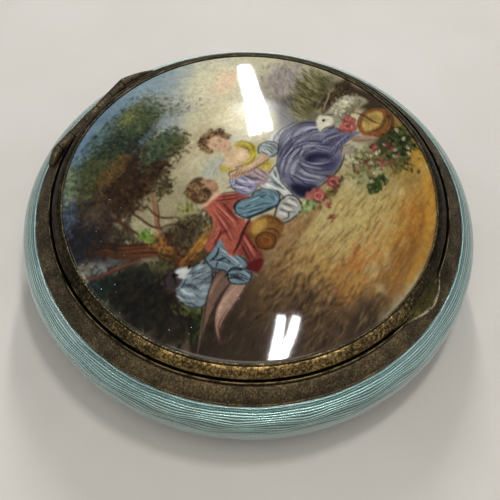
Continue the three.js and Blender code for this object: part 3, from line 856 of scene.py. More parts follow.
# %% Far hill, willows and the bank behind the lamb
wash(14.2, 4.6, 3.6, 2, "8f867d", 0.8, 28)
dabs(14.5, 5.2, 3.6, 1.9, 360, "a49a90 8b8390 7a7266 b9ae9c", 0.16, 3, 35, 15, 0.35, 28)
wash(14.3, 1.4, 5, 2.2, "59543a", 0.95, 8)
wash(11.6, 2.8, 1.8, 0.9, "5f5c58", 0.7, 10)
for k in range(26):
    x, lift = 10.4 + 0.33 * k, chance.random()
    base, tall = -0.2 + 0.1 * k + 0.4 * lift, 1.6 + 1.5 * lift
    ink = ("77734e", "928d68", "4b472f", "3a3724")[k % 4]
    stroke([(x - 0.5, base), (x - 0.1, base + 0.6 * tall), (x + 0.5, base + tall)], ink, 0.2, 0.7)
dabs(15, 2.2, 4, 1.5, 260, "7d7952 514d32 97936c 3e3a26", 0.13, 4, 75, 20, 0.5, 10)
wash(11.7, -0.5, 1.1, 0.6, "626048", 0.8)
wash(15.8, -0.8, 3.4, 1, "382c1c", 0.95, 8)
dabs(15.8, -0.6, 3.2, 0.9, 200, "2a2016 4a3d28 5f5238", 0.16, 2.5, 15, 25, 0.5)
stroke([(12.9, -0.9), (14.2, -0.4), (15.4, -0.1), (16.6, 0.4)], "b9a98a", 0.13, 0.85)

# %% [markdown]
# ### Figures
# Cloth is one flat shape with a thin dark outline, then broad shadows and lights along the
# folds, and last a few fine hairs of light and dark beside them, as a split brush leaves.
# Skin is a warm mid tone with a lighter and a darker one laid softly into it. Working from
# the back to the front saves cutting one shape round another.

# %% Brushes for cloth, skin and curls
INK = "131218"
CLOTH_SOFT = 0.08            # softness in mm of a cloth shape under its outline


def folds(lines, code, width, opacity=0.75):
    """Draws several fold lines in one colour."""
    for line in lines:
        stroke(line, code, width, opacity)


def hatched(lines, palette, spread, copies, width, opacity):
    """Goes over fold lines with several thin, slightly shifted hairs of the brush."""
    codes = palette.split()
    for line in lines:
        for k in range(copies):
            dx, dy = chance.normal(0, spread / 2, 2)
            first = chance.integers(0, 2) if len(line) > 3 else 0
            hair = [(x + dx, y + dy) for x, y in line[first:]]
            stroke(hair, codes[k % len(codes)], width, opacity)


def outlined(points, code, ink=INK, width=0.17, opacity=0.98):
    """A filled shape with a thin dark line round it."""
    fill(points, code, CLOTH_SOFT)
    stroke(list(points) + [points[0]], ink, width, opacity, 0.0, 0.5)


def curls(x, y, wide, tall, count, palette, size):
    """Small hooked strokes that pile up into curly hair."""
    codes = palette.split()
    for k in range(count):
        angle, far = chance.random() * 2 * math.pi, math.sqrt(chance.random())
        px, py = x + far * wide * math.cos(angle), y + far * tall * math.sin(angle)
        start, bend = chance.random() * 6.3, size * (0.6 + 0.6 * chance.random())
        hook = [(px + bend * 0.5 * math.cos(start + t), py + bend * 0.5 * math.sin(start + t))
                for t in (0, 1.1, 2.2, 3.3)]
        stroke(hook, codes[k % len(codes)], 0.15, 0.8)


# %% The resting dog and the bundle
outlined([(-13.6, 0.6), (-12.6, 0.9), (-11.9, 0.2), (-11.3, -0.5), (-10.4, -1), (-10, -2), (-11.2, -3),
          (-12.4, -3.6), (-13.8, -3.8), (-14.5, -3.1), (-14.7, -1.8), (-14.1, -0.6)], "7c8a8f",
         width=0.12)
folds([((-14.4, -1), (-14.5, -2), (-14, -3.1)), ((-13.6, -0.8), (-13.7, -1.7), (-13.3, -2.6)),
       ((-12.4, -0.9), (-11.2, -1.1), (-10, -1.1))], "c6d0ce", 0.3, 0.7)
folds([((-14.8, -1.6), (-14.4, -2.4), (-14.2, -3.4)), ((-13, -1.2), (-12.6, -1.8)),
       ((-11.9, -0.9), (-10.6, -1.4)), ((-14.1, -0.7), (-13.4, -1), (-12.5, -0.8))],
      "20242c", 0.16, 0.8)
outlined([(-13.2, -2.2), (-12.6, -2), (-11.9, -2.5), (-11.6, -3.3), (-12.2, -3.9), (-13, -3.7),
          (-13.4, -3)], "79868a", width=0.1, opacity=0.55)
folds([((-13, -2.9), (-12.6, -3.5), (-12, -3.6)), ((-12.9, -2.5), (-12.3, -2.7), (-11.9, -3.2))],
      "c3c9c4", 0.2, 0.6)
outlined([(-11.8, -1), (-11, -0.8), (-10.3, -1.3), (-10.2, -2.1), (-10.9, -2.6), (-11.6, -2.3),
          (-11.9, -1.6)], "7f8e93", width=0.1, opacity=0.55)
folds([((-11.6, -1.4), (-11, -1.2), (-10.5, -1.5)), ((-11.4, -2), (-10.8, -2.2))], "c9cfca", 0.22, 0.6)
folds([((-11.8, -0.9), (-11.2, -1.7), (-10.6, -2.5)), ((-12.2, -2.2), (-11.2, -2.6), (-10.2, -2.8))],
      "1d2028", 0.13, 0.7)
fill([(-13.9, 1), (-13, 1.1), (-12, 0.7), (-11.6, 0), (-12.2, -0.4), (-13.2, -0.6), (-14, -0.5),
      (-14.3, 0.2)], "413638", 0.1)
fill([(-12.7, 0.5), (-12, 0.5), (-11.4, -0.1), (-11.2, -0.5), (-11.8, -0.7), (-12.6, -0.5)],
     "c3c6c0", 0.09)
folds([((-14.2, 0.3), (-13.6, 1), (-12.9, 0.9)), ((-13.6, -0.4), (-13.1, 0.1), (-13, 0.6))],
      "17141a", 0.2)
hatched([((-14.2, -1), (-14.3, -2.2), (-13.8, -3.2)), ((-13.4, -0.9), (-13, -1.8), (-12.8, -2.8)),
         ((-12.4, -1), (-11.4, -1.6), (-10.5, -2.2)), ((-11.9, -2.6), (-11, -3), (-10.3, -2.6))],
        "171a20 ccd4d2 20242b", 0.4, 4, 0.08, 0.7)
dabs(-12.8, 0.3, 0.2, 0.15, 8, "0d0b0d", 0.16, 1.2, 0, 30, 0.9)
dabs(-11.3, -0.35, 0.12, 0.12, 6, "121012", 0.12, 1.3, 0, 30, 0.9)
stroke([(-12.2, -0.55), (-11.8, -0.75), (-11.3, -0.7)], "2a2226", 0.09, 0.8)

# %% The seated man's legs and breeches
outlined([(-18, -5.8), (-15.6, -4.9), (-13.4, -3.8), (-12, -3.3), (-10.4, -3), (-9.6, -3.8),
          (-10.4, -4.6), (-12.4, -4.6), (-14.6, -5)], "745d50", "2b1f20", 0.12)
outlined([(-16, -7.3), (-15.4, -6.3), (-14, -5.2), (-12.4, -4.8), (-10.6, -4.7), (-9.4, -5.2),
          (-9.8, -6), (-11.6, -6.2), (-13.6, -6.2), (-15, -6.5)], "9c8070", "3a2624", 0.13)
folds([((-14.2, -5.6), (-12.6, -5.2), (-10.8, -5.3))], "bfa08a", 0.36, 0.6)
folds([((-12.8, -3.8), (-11.6, -3.5), (-10.4, -3.5))], "a28372", 0.32, 0.6)
folds([((-13.6, -4.5), (-12.2, -4.7), (-11.4, -4.6)), ((-15.6, -7), (-14.6, -6.1), (-12.8, -5.9))],
      "4a3230", 0.13, 0.8)
stroke([(-18.2, -6.1), (-16, -5), (-13.4, -3.7)], "8d8468", 0.16, 0.6)
outlined([(-9.8, -1.1), (-8.4, -1.2), (-7, -1.1), (-7, -2.4), (-7.6, -3.6), (-7.8, -4.6), (-8.3, -5.6),
          (-9.3, -6.1), (-10, -5.7), (-10.5, -4.6), (-9.8, -3.6), (-10.2, -2.3)], "73858d", width=0.14)
folds([((-8.1, -1.5), (-8.3, -2.9), (-8.5, -4.2), (-8.9, -5.6)), ((-7.6, -2), (-8, -3.4))],
      "b6c4c4", 0.34, 0.6)
folds([((-9.8, -1.7), (-8.9, -1.9), (-8, -1.6)),
       ((-10, -2.6), (-9.2, -2.4), (-8.6, -2.9), (-8.9, -3.6)),
       ((-10.3, -4.2), (-9.8, -4.8), (-9.6, -5.8)), ((-9.9, -4), (-9.3, -4.9), (-9.2, -6)),
       ((-9.4, -3.9), (-8.7, -4.9), (-8.7, -5.9)), ((-10.4, -3.9), (-9.4, -3.9), (-8.4, -4.4)),
       ((-9.1, -4.6), (-8.4, -5.2), (-8.3, -5.8))], "101319", 0.22, 0.9)
hatched([((-8.2, -1.6), (-8.4, -3), (-8.6, -4.4)), ((-9.5, -1.8), (-9, -3), (-8.9, -4.2)),
         ((-10, -3.9), (-9.5, -4.9), (-9.3, -5.9)), ((-9.2, -4), (-8.6, -5), (-8.6, -5.9))],
        "0f1318 b5c3c6 161b22", 0.35, 5, 0.08, 0.8)

# %% His coat and sleeve
fill([(-8.1, -2.6), (-7.2, -3), (-5, -2.4), (-3.6, -2.2), (-4.2, -3.2), (-5.2, -4.4), (-6.4, -5.7),
      (-7.6, -6), (-8.2, -5.4), (-7.4, -4.2)], "84463c", 0.1, 1, 0.3)
folds([((-5.6, -3), (-6.2, -4), (-6.9, -5.2)), ((-4.8, -2.9), (-5.4, -3.7), (-5.9, -4.6))],
      "b86a58", 0.36, 0.65)
folds([((-6.4, -3.2), (-7, -4.2), (-7.6, -5.4)), ((-5.2, -3.2), (-5.8, -4.2), (-6.3, -5.2))],
      "421d1e", 0.18, 0.8)
fill([(-8.2, -4.9), (-7.2, -5.2), (-6.6, -5.8), (-7.2, -6.2), (-8.2, -6.1)], "5a2120", 0.09)
fill([(-5, 2.3), (-4, 2.2), (-2.9, 1.9), (-2.2, 1), (-1.6, 0.2), (-1.4, -0.7), (-2.4, -0.6),
      (-3.5, -0.3), (-4.1, -0.9), (-4, -2), (-5.6, -2.7), (-7.4, -3.4), (-8.1, -3.1), (-7.6, -1.9),
      (-7.2, -1.1), (-8.9, -1.1), (-8.7, -0.4), (-7.4, -0.1), (-6.5, 0.1), (-5.6, 0.9)],
     "9b5748", 0.08, 1, 0.25)
folds([((-5, 1.4), (-5.4, 0.2), (-6, -0.9), (-6.6, -2.1)),
       ((-4.3, 1.4), (-4.6, 0.2), (-4.9, -1), (-5.4, -2)), ((-7.9, -0.7), (-6.8, -0.5), (-6, -0.2)),
       ((-3.6, 1.3), (-3.1, 0.6), (-2.6, 0.1))], "bd7565", 0.32, 0.6)
folds([((-5.6, 0.4), (-6, -0.7), (-6.9, -2.2)), ((-3.9, 0.9), (-4.2, -0.2), (-4.4, -1.2)),
       ((-2.9, 1.3), (-2.2, 0.5), (-1.7, -0.2))], "7a3a34", 0.22, 0.6)
folds([((-4, 1.8), (-3.3, 0.9), (-2.5, 0.2), (-1.7, -0.4)), ((-3.3, 1.8), (-2.6, 1), (-1.9, 0.3)),
       ((-4.8, 0.9), (-5.1, -0.3), (-5.7, -1.5)), ((-4.1, 0.2), (-4.4, -0.8), (-4.7, -1.8)),
       ((-7.4, -0.9), (-6.4, -1), (-5.8, -1.6))], "5e2226", 0.17, 0.8)
hatched([((-4.8, 1.2), (-5.3, 0), (-6, -1.4), (-6.6, -2.4)), ((-4.1, 1.4), (-4.5, 0), (-4.9, -1.4)),
         ((-3.7, 1.7), (-3, 0.8), (-2.2, 0)), ((-7.9, -0.7), (-6.8, -0.6), (-6, -0.4)),
         ((-6.2, -3.2), (-6.8, -4.2), (-7.4, -5.2)), ((-5.2, -2.9), (-5.8, -3.9), (-6.3, -4.9))],
        "3f1418 d9917f 541f20 2b0e12", 0.4, 6, 0.08, 0.75)
stroke([(-7.9, -3.2), (-6.6, -3), (-5.2, -2.6), (-3.4, -2.3)], "2a0f14", 0.3, 0.85)
stroke([(-5.1, 2.3), (-5.8, 0.9), (-6.9, 0.1), (-8.8, -0.5)], "4f2422", 0.1, 0.7)
stroke([(-2.8, 1.8), (-1.9, 0.7), (-1.4, -0.6)], "3a1418", 0.14, 0.8)
outlined([(-3.9, -0.8), (-3.3, -0.3), (-2.4, -0.3), (-1.4, -1), (-0.6, -1), (0.2, -1.6), (0.7, -2.6),
          (0.2, -3.4), (-0.8, -3.7), (-2, -3.2), (-3, -2.6), (-3.8, -2)], "6b8690", width=0.16)
folds([((-3.8, -1.9), (-3.0, -2.5), (-1.9, -3.1), (-0.8, -3.6)),
       ((-3.7, -0.6), (-3.2, -0.2), (-2.3, -0.3))], "14171e", 0.26, 0.8)
folds([((-3.4, -1), (-2.6, -1.6), (-1.6, -2.4), (-0.8, -2.9)),
       ((-2.6, -0.7), (-1.8, -1.3), (-0.6, -1.8))], "9ab4ba", 0.34, 0.6)
folds([((-3.6, -1.8), (-2.8, -2.1), (-1.9, -2.8)), ((-1.5, -1.2), (-0.9, -1.6), (-0.8, -2.2)),
       ((-0.2, -1.8), (0, -2.6), (-0.5, -3.2)), ((-2.9, -1.2), (-2.2, -1.5)),
       ((-3.3, -0.7), (-2.9, -1.3)), ((-2.2, -1.9), (-1.3, -2.6), (-0.9, -3.2)),
       ((-1.0, -1.4), (-0.4, -2.2))], "22343f", 0.17, 0.85)
hatched([((-3.5, -1.1), (-2.6, -1.8), (-1.4, -2.7)), ((-2.8, -0.6), (-1.8, -1.4), (-0.5, -2)),
         ((-0.4, -1.6), (-0.1, -2.5), (-0.4, -3.2))], "15222b b9cfd2 1d2c36", 0.4, 5, 0.08, 0.75)

# %% His head, turned to the right
fill([(-4.6, 2.6), (-3.4, 2.5), (-2.7, 2.1), (-2.8, 1.8), (-4, 2.1), (-4.9, 2.2)], "caa88e", 0.08)
HIS_FACE = 0.35              # how far his face is moved to the right


def to_his_face(points):
    """Moves points of his face to its place on the head."""
    return [(x + HIS_FACE, y) for x, y in points]


fill(to_his_face([(-3.6, 4.6), (-2.9, 4.5), (-2.4, 4.1), (-2.2, 3.5), (-2.25, 2.9), (-2.6, 2.4),
                  (-3.2, 2.3), (-3.7, 2.9)]), "a8856a", 0.07)
fill(to_his_face([(-2.3, 3.55), (-1.98, 3.25), (-2.2, 3.08), (-2.4, 3.2)]), "a27e64", 0.04)
for line, ink, width in [([(-2.75, 3.75), (-2.5, 3.78), (-2.32, 3.7)], "3f2a20", 0.07),
                         ([(-2.68, 3.52), (-2.45, 3.5)], "2a1b17", 0.09),
                         ([(-2.55, 2.82), (-2.28, 2.85)], "7a3a30", 0.08),
                         ([(-2.75, 2.55), (-3.1, 2.5), (-3.4, 2.8)], "6d4c3a", 0.12)]:
    stroke(to_his_face(line), ink, width, 0.8)
fill([(-4.8, 2.7), (-5.1, 3.4), (-4.9, 4.4), (-4.2, 5.1), (-3.2, 5.3), (-2.4, 5.0), (-2.1, 4.4),
      (-2.7, 4.4), (-2.9, 3.8), (-3.0, 3.1), (-3.3, 2.5), (-4.3, 2.4)], "5f4934", 0.1, 1, 0.4)
curls(-3.9, 3.9, 1.0, 1.2, 120, "8d7453 4b3524 3a281c a48a63 5d452f", 0.5)

# %% The seated woman's skirts
fill([(5, 1.5), (6.4, 1.7), (7.6, 1.4), (9.4, 0.7), (9.2, 0.1), (7, 0.4), (5.2, 0.2)],
     "b4b2ae", 0.12, 0.95)
folds([((5.4, 0.8), (6.6, 1.3), (8, 1.3), (9.2, 0.8)), ((6, 0.6), (7.2, 0.9), (8.4, 0.8))],
      "5d6468", 0.16, 0.8)
folds([((5.6, 1.1), (6.6, 1.6), (7.6, 1.6))], "dedcd6", 0.3, 0.7)
fill([(1.5, -4), (1.9, -3), (2.3, -2), (3.2, -1.1), (4.9, -0.2), (6.9, 0.8), (8.4, 0.9), (9.6, 0.5),
      (10.9, -0.4), (11.7, -1.8), (11.9, -3.2), (12.3, -4.6), (13.1, -5.5), (11.6, -5.3), (10, -5),
      (8.8, -5.7), (7.4, -6.2), (5.6, -6.2), (4, -5.8), (2.5, -5.9), (1.5, -5.2)],
     "686876", 0.1, 1, 0.2)
fill([(1.6, -4.1), (2.2, -3.4), (2.8, -3.9), (3.1, -4.8), (3.7, -5.6), (2.6, -5.8), (1.6, -5.2)],
     "1d1c31", 0.2, 0.95)
fill([(5.6, -3.1), (6.3, -2.7), (7.1, -3.0), (7.7, -3.7), (8.2, -4.6), (7.6, -4.9), (7.0, -4.2),
      (6.3, -3.7), (5.9, -3.9)], "232239", 0.2, 0.9)
fill([(5.9, -4.0), (6.5, -4.4), (7.4, -5.2), (8.3, -5.6), (7.3, -5.9), (6.2, -5.4)],
     "3c3b58", 0.25, 0.8)
fill([(8, -3.2), (9.6, -3.4), (11.2, -4), (11.8, -4.7), (9.8, -4.8), (8.4, -4.2)], "5a576c", 0.2, 0.8)
folds([((3, -2.2), (3.8, -1.9), (5.2, -1.6), (6.6, -1.6), (7.8, -2.2)),
       ((3.1, -3), (4.2, -2.5), (5.4, -2.4)), ((4.2, -3.2), (4.3, -4.2), (4.8, -5.4)),
       ((5.2, -2.9), (5.2, -3.9), (5.8, -5)), ((7.2, -0.6), (8.6, -0.3), (9.8, -0.8), (10.6, -1.8)),
       ((5.4, -0.5), (6.8, 0.1), (8.2, 0.2))], "b4b3b8", 0.46, 0.6)
folds([((6.2, -2.2), (7.2, -2.4), (8, -3.2), (8.3, -4.4)), ((8.6, -1.4), (9.6, -2), (10.2, -3)),
       ((3.4, -3.4), (3.5, -4.2), (4, -5.2))], "8d8e9e", 0.36, 0.6)
folds([((2.4, -2.4), (3.4, -1.7), (5, -1.2), (6.6, -1.2), (8, -1.8), (9, -2.9)),
       ((3.6, -2.9), (3.6, -3.9), (4.2, -5.2)), ((4.7, -3), (4.6, -4), (5.2, -5.3), (5.6, -6)),
       ((5.6, -2.6), (5.6, -3.6), (6.2, -4.6), (7.2, -5.3)),
       ((5.9, -2.5), (6.8, -2.4), (7.6, -3), (8, -4.2)), ((8.4, -0.9), (9.8, -1.3), (10.8, -2.4)),
       ((4.4, -0.6), (6, -0.3), (7.4, -0.4), (8.6, -0.9)),
       ((4.9, -2.4), (5.0, -3.6), (5.6, -4.9), (6.5, -5.9)), ((3.2, -3.9), (3.2, -4.7), (3.6, -5.6)),
       ((7.4, -2.6), (8.4, -3.0), (9.4, -4.2)), ((6.6, -1.5), (8.2, -2.0), (9.2, -3.4)),
       ((5.0, -1.8), (6.2, -1.9), (7.4, -1.7)), ((3.9, -1.3), (5.4, -0.9), (7.0, -0.8)),
       ((8.6, -3.1), (10.2, -3.2), (11.4, -3.9)), ((8.2, -4.6), (9.8, -4.7), (11.8, -5)),
       ((2.9, -2.9), (2.6, -3.8)), ((9.6, 0.3), (10.6, -0.6), (11.4, -1.9))], "2a2947", 0.2, 0.8)
folds([((4.5, -3.2), (4.7, -4.4), (5.3, -5.5)), ((6.0, -2.2), (7.2, -2.1), (8.2, -2.9), (8.8, -4.3)),
       ((2.9, -1.9), (4.3, -1.4), (6.0, -1.4)), ((8.9, -0.6), (10.2, -1.2), (11.0, -2.6))],
      "c6c5cc", 0.2, 0.6)
stroke([(2.2, -2.1), (3.2, -1.1), (4.9, -0.2), (6.9, 0.8), (8.8, 0.9), (10.2, 0.2), (11.2, -1)],
       "3a3a52", 0.13, 0.85)
folds([((6.6, 1.0), (7.8, 1.3), (9.2, 0.9), (10.2, 0.6)), ((7.8, 0.7), (9.2, 0.5), (10.4, -0.2))],
      "2a2b33", 0.14, 0.75)
hatched([((2.4, -2.4), (3.4, -1.7), (5, -1.2), (6.6, -1.2), (8, -1.8), (9, -2.9)),
         ((3.6, -2.9), (3.6, -3.9), (4.2, -5.2)), ((4.7, -3), (4.6, -4), (5.2, -5.3), (5.6, -6)),
         ((5.6, -2.6), (5.6, -3.6), (6.2, -4.6), (7.2, -5.3)), ((6.6, -2.3), (7.6, -2.8), (8.2, -4)),
         ((8.4, -0.9), (9.8, -1.3), (10.8, -2.4)), ((4.4, -0.6), (6, -0.3), (7.4, -0.4), (8.6, -0.9)),
         ((8.4, -3.2), (9.8, -3.4), (11.4, -4.2)), ((8.0, -4.8), (9.6, -4.8), (11.6, -5))],
        "1a1930 cfced6 23223c a5a4b6", 0.5, 7, 0.09, 0.7)
stroke([(2.2, -5.8), (3.8, -6), (5.4, -6.3), (7, -6.4), (8.6, -6), (9.8, -5.4)], "15151f", 0.18, 0.85)

# %% Her petticoat and bodice
outlined([(0.1, -0.9), (1.1, -0.9), (2.2, -0.9), (3.3, -0.9), (2.7, -1.7), (2, -2.4), (1.5, -3.6),
          (1.2, -4.4), (0.4, -4), (0.7, -2.8), (0.2, -1.7)], "bdbfb8", width=0.1)
folds([((1.2, -1), (1.4, -2), (1, -3.6)), ((0.6, -1.2), (1, -2.2))], "e4e4dc", 0.28, 0.7)
folds([((1.7, -1.4), (1.5, -2.4), (1.3, -3.4)), ((2.4, -1.2), (2, -1.9)), ((1, -1.6), (1.1, -2.6))],
      "4a4c52", 0.1, 0.8)
hatched([((0.9, -1.2), (1.3, -2), (1.1, -3.2)), ((2.0, -1.1), (1.6, -2), (1.3, -3)),
         ((2.7, -1.2), (2.1, -1.8))], "14161c 6b7f8c e2e2da", 0.4, 5, 0.08, 0.75)
outlined([(-2, -4.2), (-1.2, -3.9), (-0.2, -3.7), (0.8, -3.9), (1.2, -4.7), (0.8, -5.6), (0.2, -6.1),
          (-0.8, -5.9), (-1.6, -5.7), (-2.2, -5.2)], "a09f97")
folds([((-1.4, -4.3), (-1.2, -5.2)), ((-0.6, -4.1), (-0.4, -5.4)), ((0.3, -4.2), (0.4, -5.4))],
      "e2e0d4", 0.32, 0.75)
folds([((-1, -4.1), (-0.8, -5)), ((-0.2, -4), (0, -5)), ((0.7, -4.2), (0.8, -5)),
       ((-1.9, -5.1), (-1.3, -5.4), (-0.7, -5.1), (-0.4, -5.7)),
       ((-0.3, -5.8), (0.2, -6), (0.8, -5.6))], "23242c", 0.14, 0.85)
fill([(0.2, 0.9), (1.4, 0.8), (2.6, 0.7), (2.6, -0.2), (1.9, -1), (0.9, -1.3), (0.2, -0.6)],
     "8c7a7c", 0.08, 1, 0.4)
for k in range(7):
    stroke([(0.4 + 0.33 * k, 0.7), (0.5 + 0.28 * k, -0.1), (0.7 + 0.2 * k, -1)],
           ("b8aaa6", "4c3f4a")[k % 2], 0.12, 0.8)
fill([(2.1, 0.6), (3.4, 0.8), (3.7, 0.2), (3.3, -0.4), (2.4, -0.6)], "a3944c", 0.09, 1, 0.4)
folds([((2.4, 0.4), (2.9, 0), (3.3, -0.3))], "5d5428", 0.12, 0.8)

# %% Her shoulders, dress and sleeves
fill([(0.2, 3.7), (1.2, 3.9), (1.6, 4.6), (2.8, 4.6), (3, 3.9), (3.4, 3.4), (3.2, 2.5), (2.6, 1.9),
      (1.2, 2), (0.2, 2.5)], "c4ab8a", 0.09, 1, 0.08)
wash(2.3, 2.8, 0.9, 0.7, "e3c9a4", 0.8)
wash(0.8, 3.1, 0.6, 0.6, "d2b897", 0.6)
stroke([(1.5, 2.4), (1.7, 2.8), (1.7, 3.2)], "a98468", 0.1, 0.5)
fill([(-0.4, 3.6), (0.2, 3.8), (0.4, 3.2), (0.5, 2.7), (0, 2.7), (-0.4, 3)], "a99b56", 0.06, 1, 0.3)
fill([(3.1, 4.1), (4.3, 4), (4.6, 3.2), (4.3, 2.2), (3.6, 1.6), (2.4, 1.3), (1.2, 1.7), (1.4, 2.1),
      (2.6, 1.9), (3.3, 2.5), (3.5, 3.3)], "a6963c", 0.07, 1, 0.3)
folds([((3.6, 3.9), (4, 3.2), (3.8, 2.4)), ((1.6, 1.9), (2.6, 1.6), (3.4, 1.9))], "ccc070", 0.26, 0.65)
folds([((3.3, 3.6), (3.5, 2.9), (3.3, 2.3)), ((4.3, 3.4), (4.2, 2.6), (3.6, 1.9)),
       ((1.4, 1.6), (2.4, 1.4), (3.4, 1.6))], "5c5224", 0.12, 0.75)
fill([(3.4, 4.9), (4.1, 5), (4.6, 4.2), (5, 3.4), (4.5, 3.2), (4.2, 4), (3.5, 4.4)],
     "c9c6b2", 0.09, 0.9)
outlined([(-1.6, 1.2), (-1, 1.9), (-0.4, 2), (0.2, 1.6), (0.4, 0.6), (0.3, -0.5), (-0.4, -0.9),
          (-1.3, -0.7), (-1.7, 0.2)], "8b8a9c", width=0.1, opacity=0.6)
folds([((-1.2, 0.9), (-1, 0), (-0.8, -0.6)), ((-0.4, 1.4), (-0.3, 0.4))], "cfcbd8", 0.3, 0.7)
hatched([((-1.4, 1.0), (-1.1, 0.2), (-0.6, -0.5)), ((-0.6, 1.7), (-0.5, 0.8), (-0.1, -0.2)),
         ((0.2, 1.0), (0.3, 0.2), (0.7, -0.5)), ((-1.8, 1.6), (-1.2, 1.4), (-0.7, 1.7))],
        "1e1d2c dddbe2 4a4a70 b5a8b0", 0.4, 6, 0.09, 0.8)
folds([((-0.8, 1.6), (-0.7, 0.6), (-0.5, -0.5)), ((0, 1.3), (0, 0.3)), ((-1.4, 0.4), (-1.2, -0.4))],
      "4b4763", 0.13, 0.8)
outlined([(3.7, 1.5), (4.4, 1.9), (5.2, 1.8), (5.8, 1.2), (5.9, 0.5), (5.2, 0), (4.4, -0.1),
          (3.9, 0.4)], "969f9e", width=0.13)
folds([((4.3, 1.5), (4.5, 0.9), (4.3, 0.3)), ((5.2, 1.4), (5.4, 0.8))], "d4d9d0", 0.32, 0.7)
hatched([((4.2, 1.4), (4.4, 0.8), (4.2, 0.2)), ((5.1, 1.6), (5.3, 0.9), (5.0, 0.2))],
        "1f2830 dfe3da", 0.35, 5, 0.08, 0.8)
folds([((4.8, 1.7), (5, 0.9), (4.7, 0.1)), ((4, 1.3), (4.1, 0.6))], "39434a", 0.13, 0.85)
fill([(3.9, 1.3), (3.2, 1.2), (2, 1.5), (1.2, 2), (0.6, 2.5), (0.1, 2.6), (-0.6, 2.2), (-0.3, 1.6),
      (0.5, 1.2), (1.4, 0.9), (2.4, 0.5), (3.9, 0.2)], "b99c7f", 0.07, 1, 0.08)
stroke([(0.9, 1.7), (2, 1.1), (3.6, 0.8)], "e0c6a6", 0.3, 0.6)
folds([((-0.5, 2.1), (0, 1.9), (0.5, 1.9)), ((-0.4, 1.8), (0.1, 1.6), (0.6, 1.6)),
       ((-0.1, 2.5), (0.4, 2.2), (0.8, 2)), ((-0.6, 2.2), (-0.2, 2.5), (0.3, 2.4)),
       ((0.1, 1.4), (0.6, 1.3), (1.2, 1.1)), ((0.5, 1.1), (1.5, 0.8), (2.6, 0.4), (3.9, 0.1)),
       ((0.7, 2.4), (1.4, 1.9))], "2c1c1a", 0.1, 0.9)
stroke([(-1.7, 3.5), (-0.8, 3.9), (0.2, 3.8), (1, 4)], "85867c", 0.1, 0.7)

# %% Her head, tilted a little
fill([(1.45, 6.1), (1.55, 5.2), (2, 4.5), (2.55, 4.3), (3.05, 4.6), (3.4, 5.3), (3.45, 6.2), (3.1, 6.9),
      (2.1, 7.1), (1.6, 6.7)], "c5a78a", 0.07, 1, 0.06)
wash(2.95, 5.2, 0.32, 0.3, "c98f78", 0.5)
wash(1.95, 5.2, 0.28, 0.28, "cb957e", 0.45)
stroke([(1.85, 5.98), (2.12, 6.04), (2.3, 5.98)], "6b4a38", 0.07, 0.8)
stroke([(2.68, 5.98), (2.9, 6.02), (3.12, 5.94)], "6b4a38", 0.07, 0.8)
stroke([(1.92, 5.74), (2.1, 5.78), (2.26, 5.72)], "2c1e1c", 0.09, 0.9)
stroke([(2.7, 5.72), (2.88, 5.76), (3.04, 5.7)], "2c1e1c", 0.09, 0.9)
stroke([(2.5, 5.75), (2.54, 5.45), (2.46, 5.3)], "a07a62", 0.07, 0.6)
stroke([(2.38, 5.24), (2.48, 5.2), (2.58, 5.24)], "7d5444", 0.06, 0.7)
stroke([(2.26, 4.94), (2.46, 4.9), (2.66, 4.95)], "9a4238", 0.11, 0.85)
stroke([(2, 4.5), (2.5, 4.22), (3.05, 4.55)], "8a6450", 0.1, 0.6)
fill([(0.8, 6.2), (1, 7), (1.7, 7.6), (2.6, 7.8), (3.5, 7.4), (4.1, 6.7), (4.1, 5.7), (3.7, 5.1),
      (3.45, 5.5), (3.4, 6.3), (2.9, 6.75), (2, 6.8), (1.5, 6.2), (1.4, 5.6), (0.9, 5.6)],
     "6c523c", 0.11, 0.9, 0.4)
curls(2.4, 7.2, 1.5, 0.5, 60, "8f7758 4f3828 aa9270 3a281d", 0.45)
curls(3.85, 6.1, 0.42, 1, 46, "8f7758 4f3828 3a281d a08866", 0.42)
curls(1.05, 6.2, 0.34, 0.65, 34, "8f7758 4f3828 a48c6a", 0.4)

# %% Jug, lamb and basket
fill([(-4.9, -2.9), (-3.8, -2.7), (-2.4, -3.2), (-1.9, -4.2), (-2.1, -5.4), (-3.4, -5.9), (-5, -6),
      (-5.9, -5.3), (-5.7, -4)], "7c5830", 0.1, 1, 0.3)
fill([(-4.6, -3.1), (-3.7, -2.9), (-2.8, -3.4), (-3.2, -4.1), (-4.2, -4), (-4.8, -3.7)], "ab8c4e", 0.16)
outlined([(-5.9, -4.9), (-5.4, -4.2), (-4.6, -4.1), (-4, -4.6), (-3.9, -5.4), (-4.5, -5.9),
          (-5.3, -5.9)], "6e4626", "2c1a10", 0.13)
stroke([(-5.3, -5.1), (-5, -4.6), (-4.5, -4.7), (-4.4, -5.3), (-4.9, -5.5), (-5.3, -5.1)],
       "9a6c38", 0.12, 0.8)
folds([((-2.5, -3.6), (-2.2, -4.4), (-2.4, -5.3)), ((-3.8, -4.3), (-3.3, -4.9), (-3.4, -5.7))],
      "3a2616", 0.16, 0.8)
fill([(12.4, -1.2), (14, -1.1), (15.6, -1.1), (17, -1.5), (17.9, -2.6), (17.8, -3.8), (16.6, -3.6),
      (15, -3.2), (13.6, -3.6), (12.6, -3.4), (11.8, -2.6)], "8f8b76", 0.12, 1, 0.25)
fill([(10.9, -1.2), (11.9, -0.8), (12.7, -1.1), (12.9, -1.9), (12.4, -2.5), (11.5, -2.5), (10.6, -2.3),
      (10.2, -2)], "cdc8b2", 0.09)
dabs(15, -1.9, 2.2, 0.8, 190, "cbc6ac a39d84 dcd8c0 8d866c", 0.15, 1.6, 20, 60, 0.5)
dabs(15.6, -3.1, 2, 0.5, 80, "7d775c 5f5a44", 0.14, 2, 20, 40, 0.5)
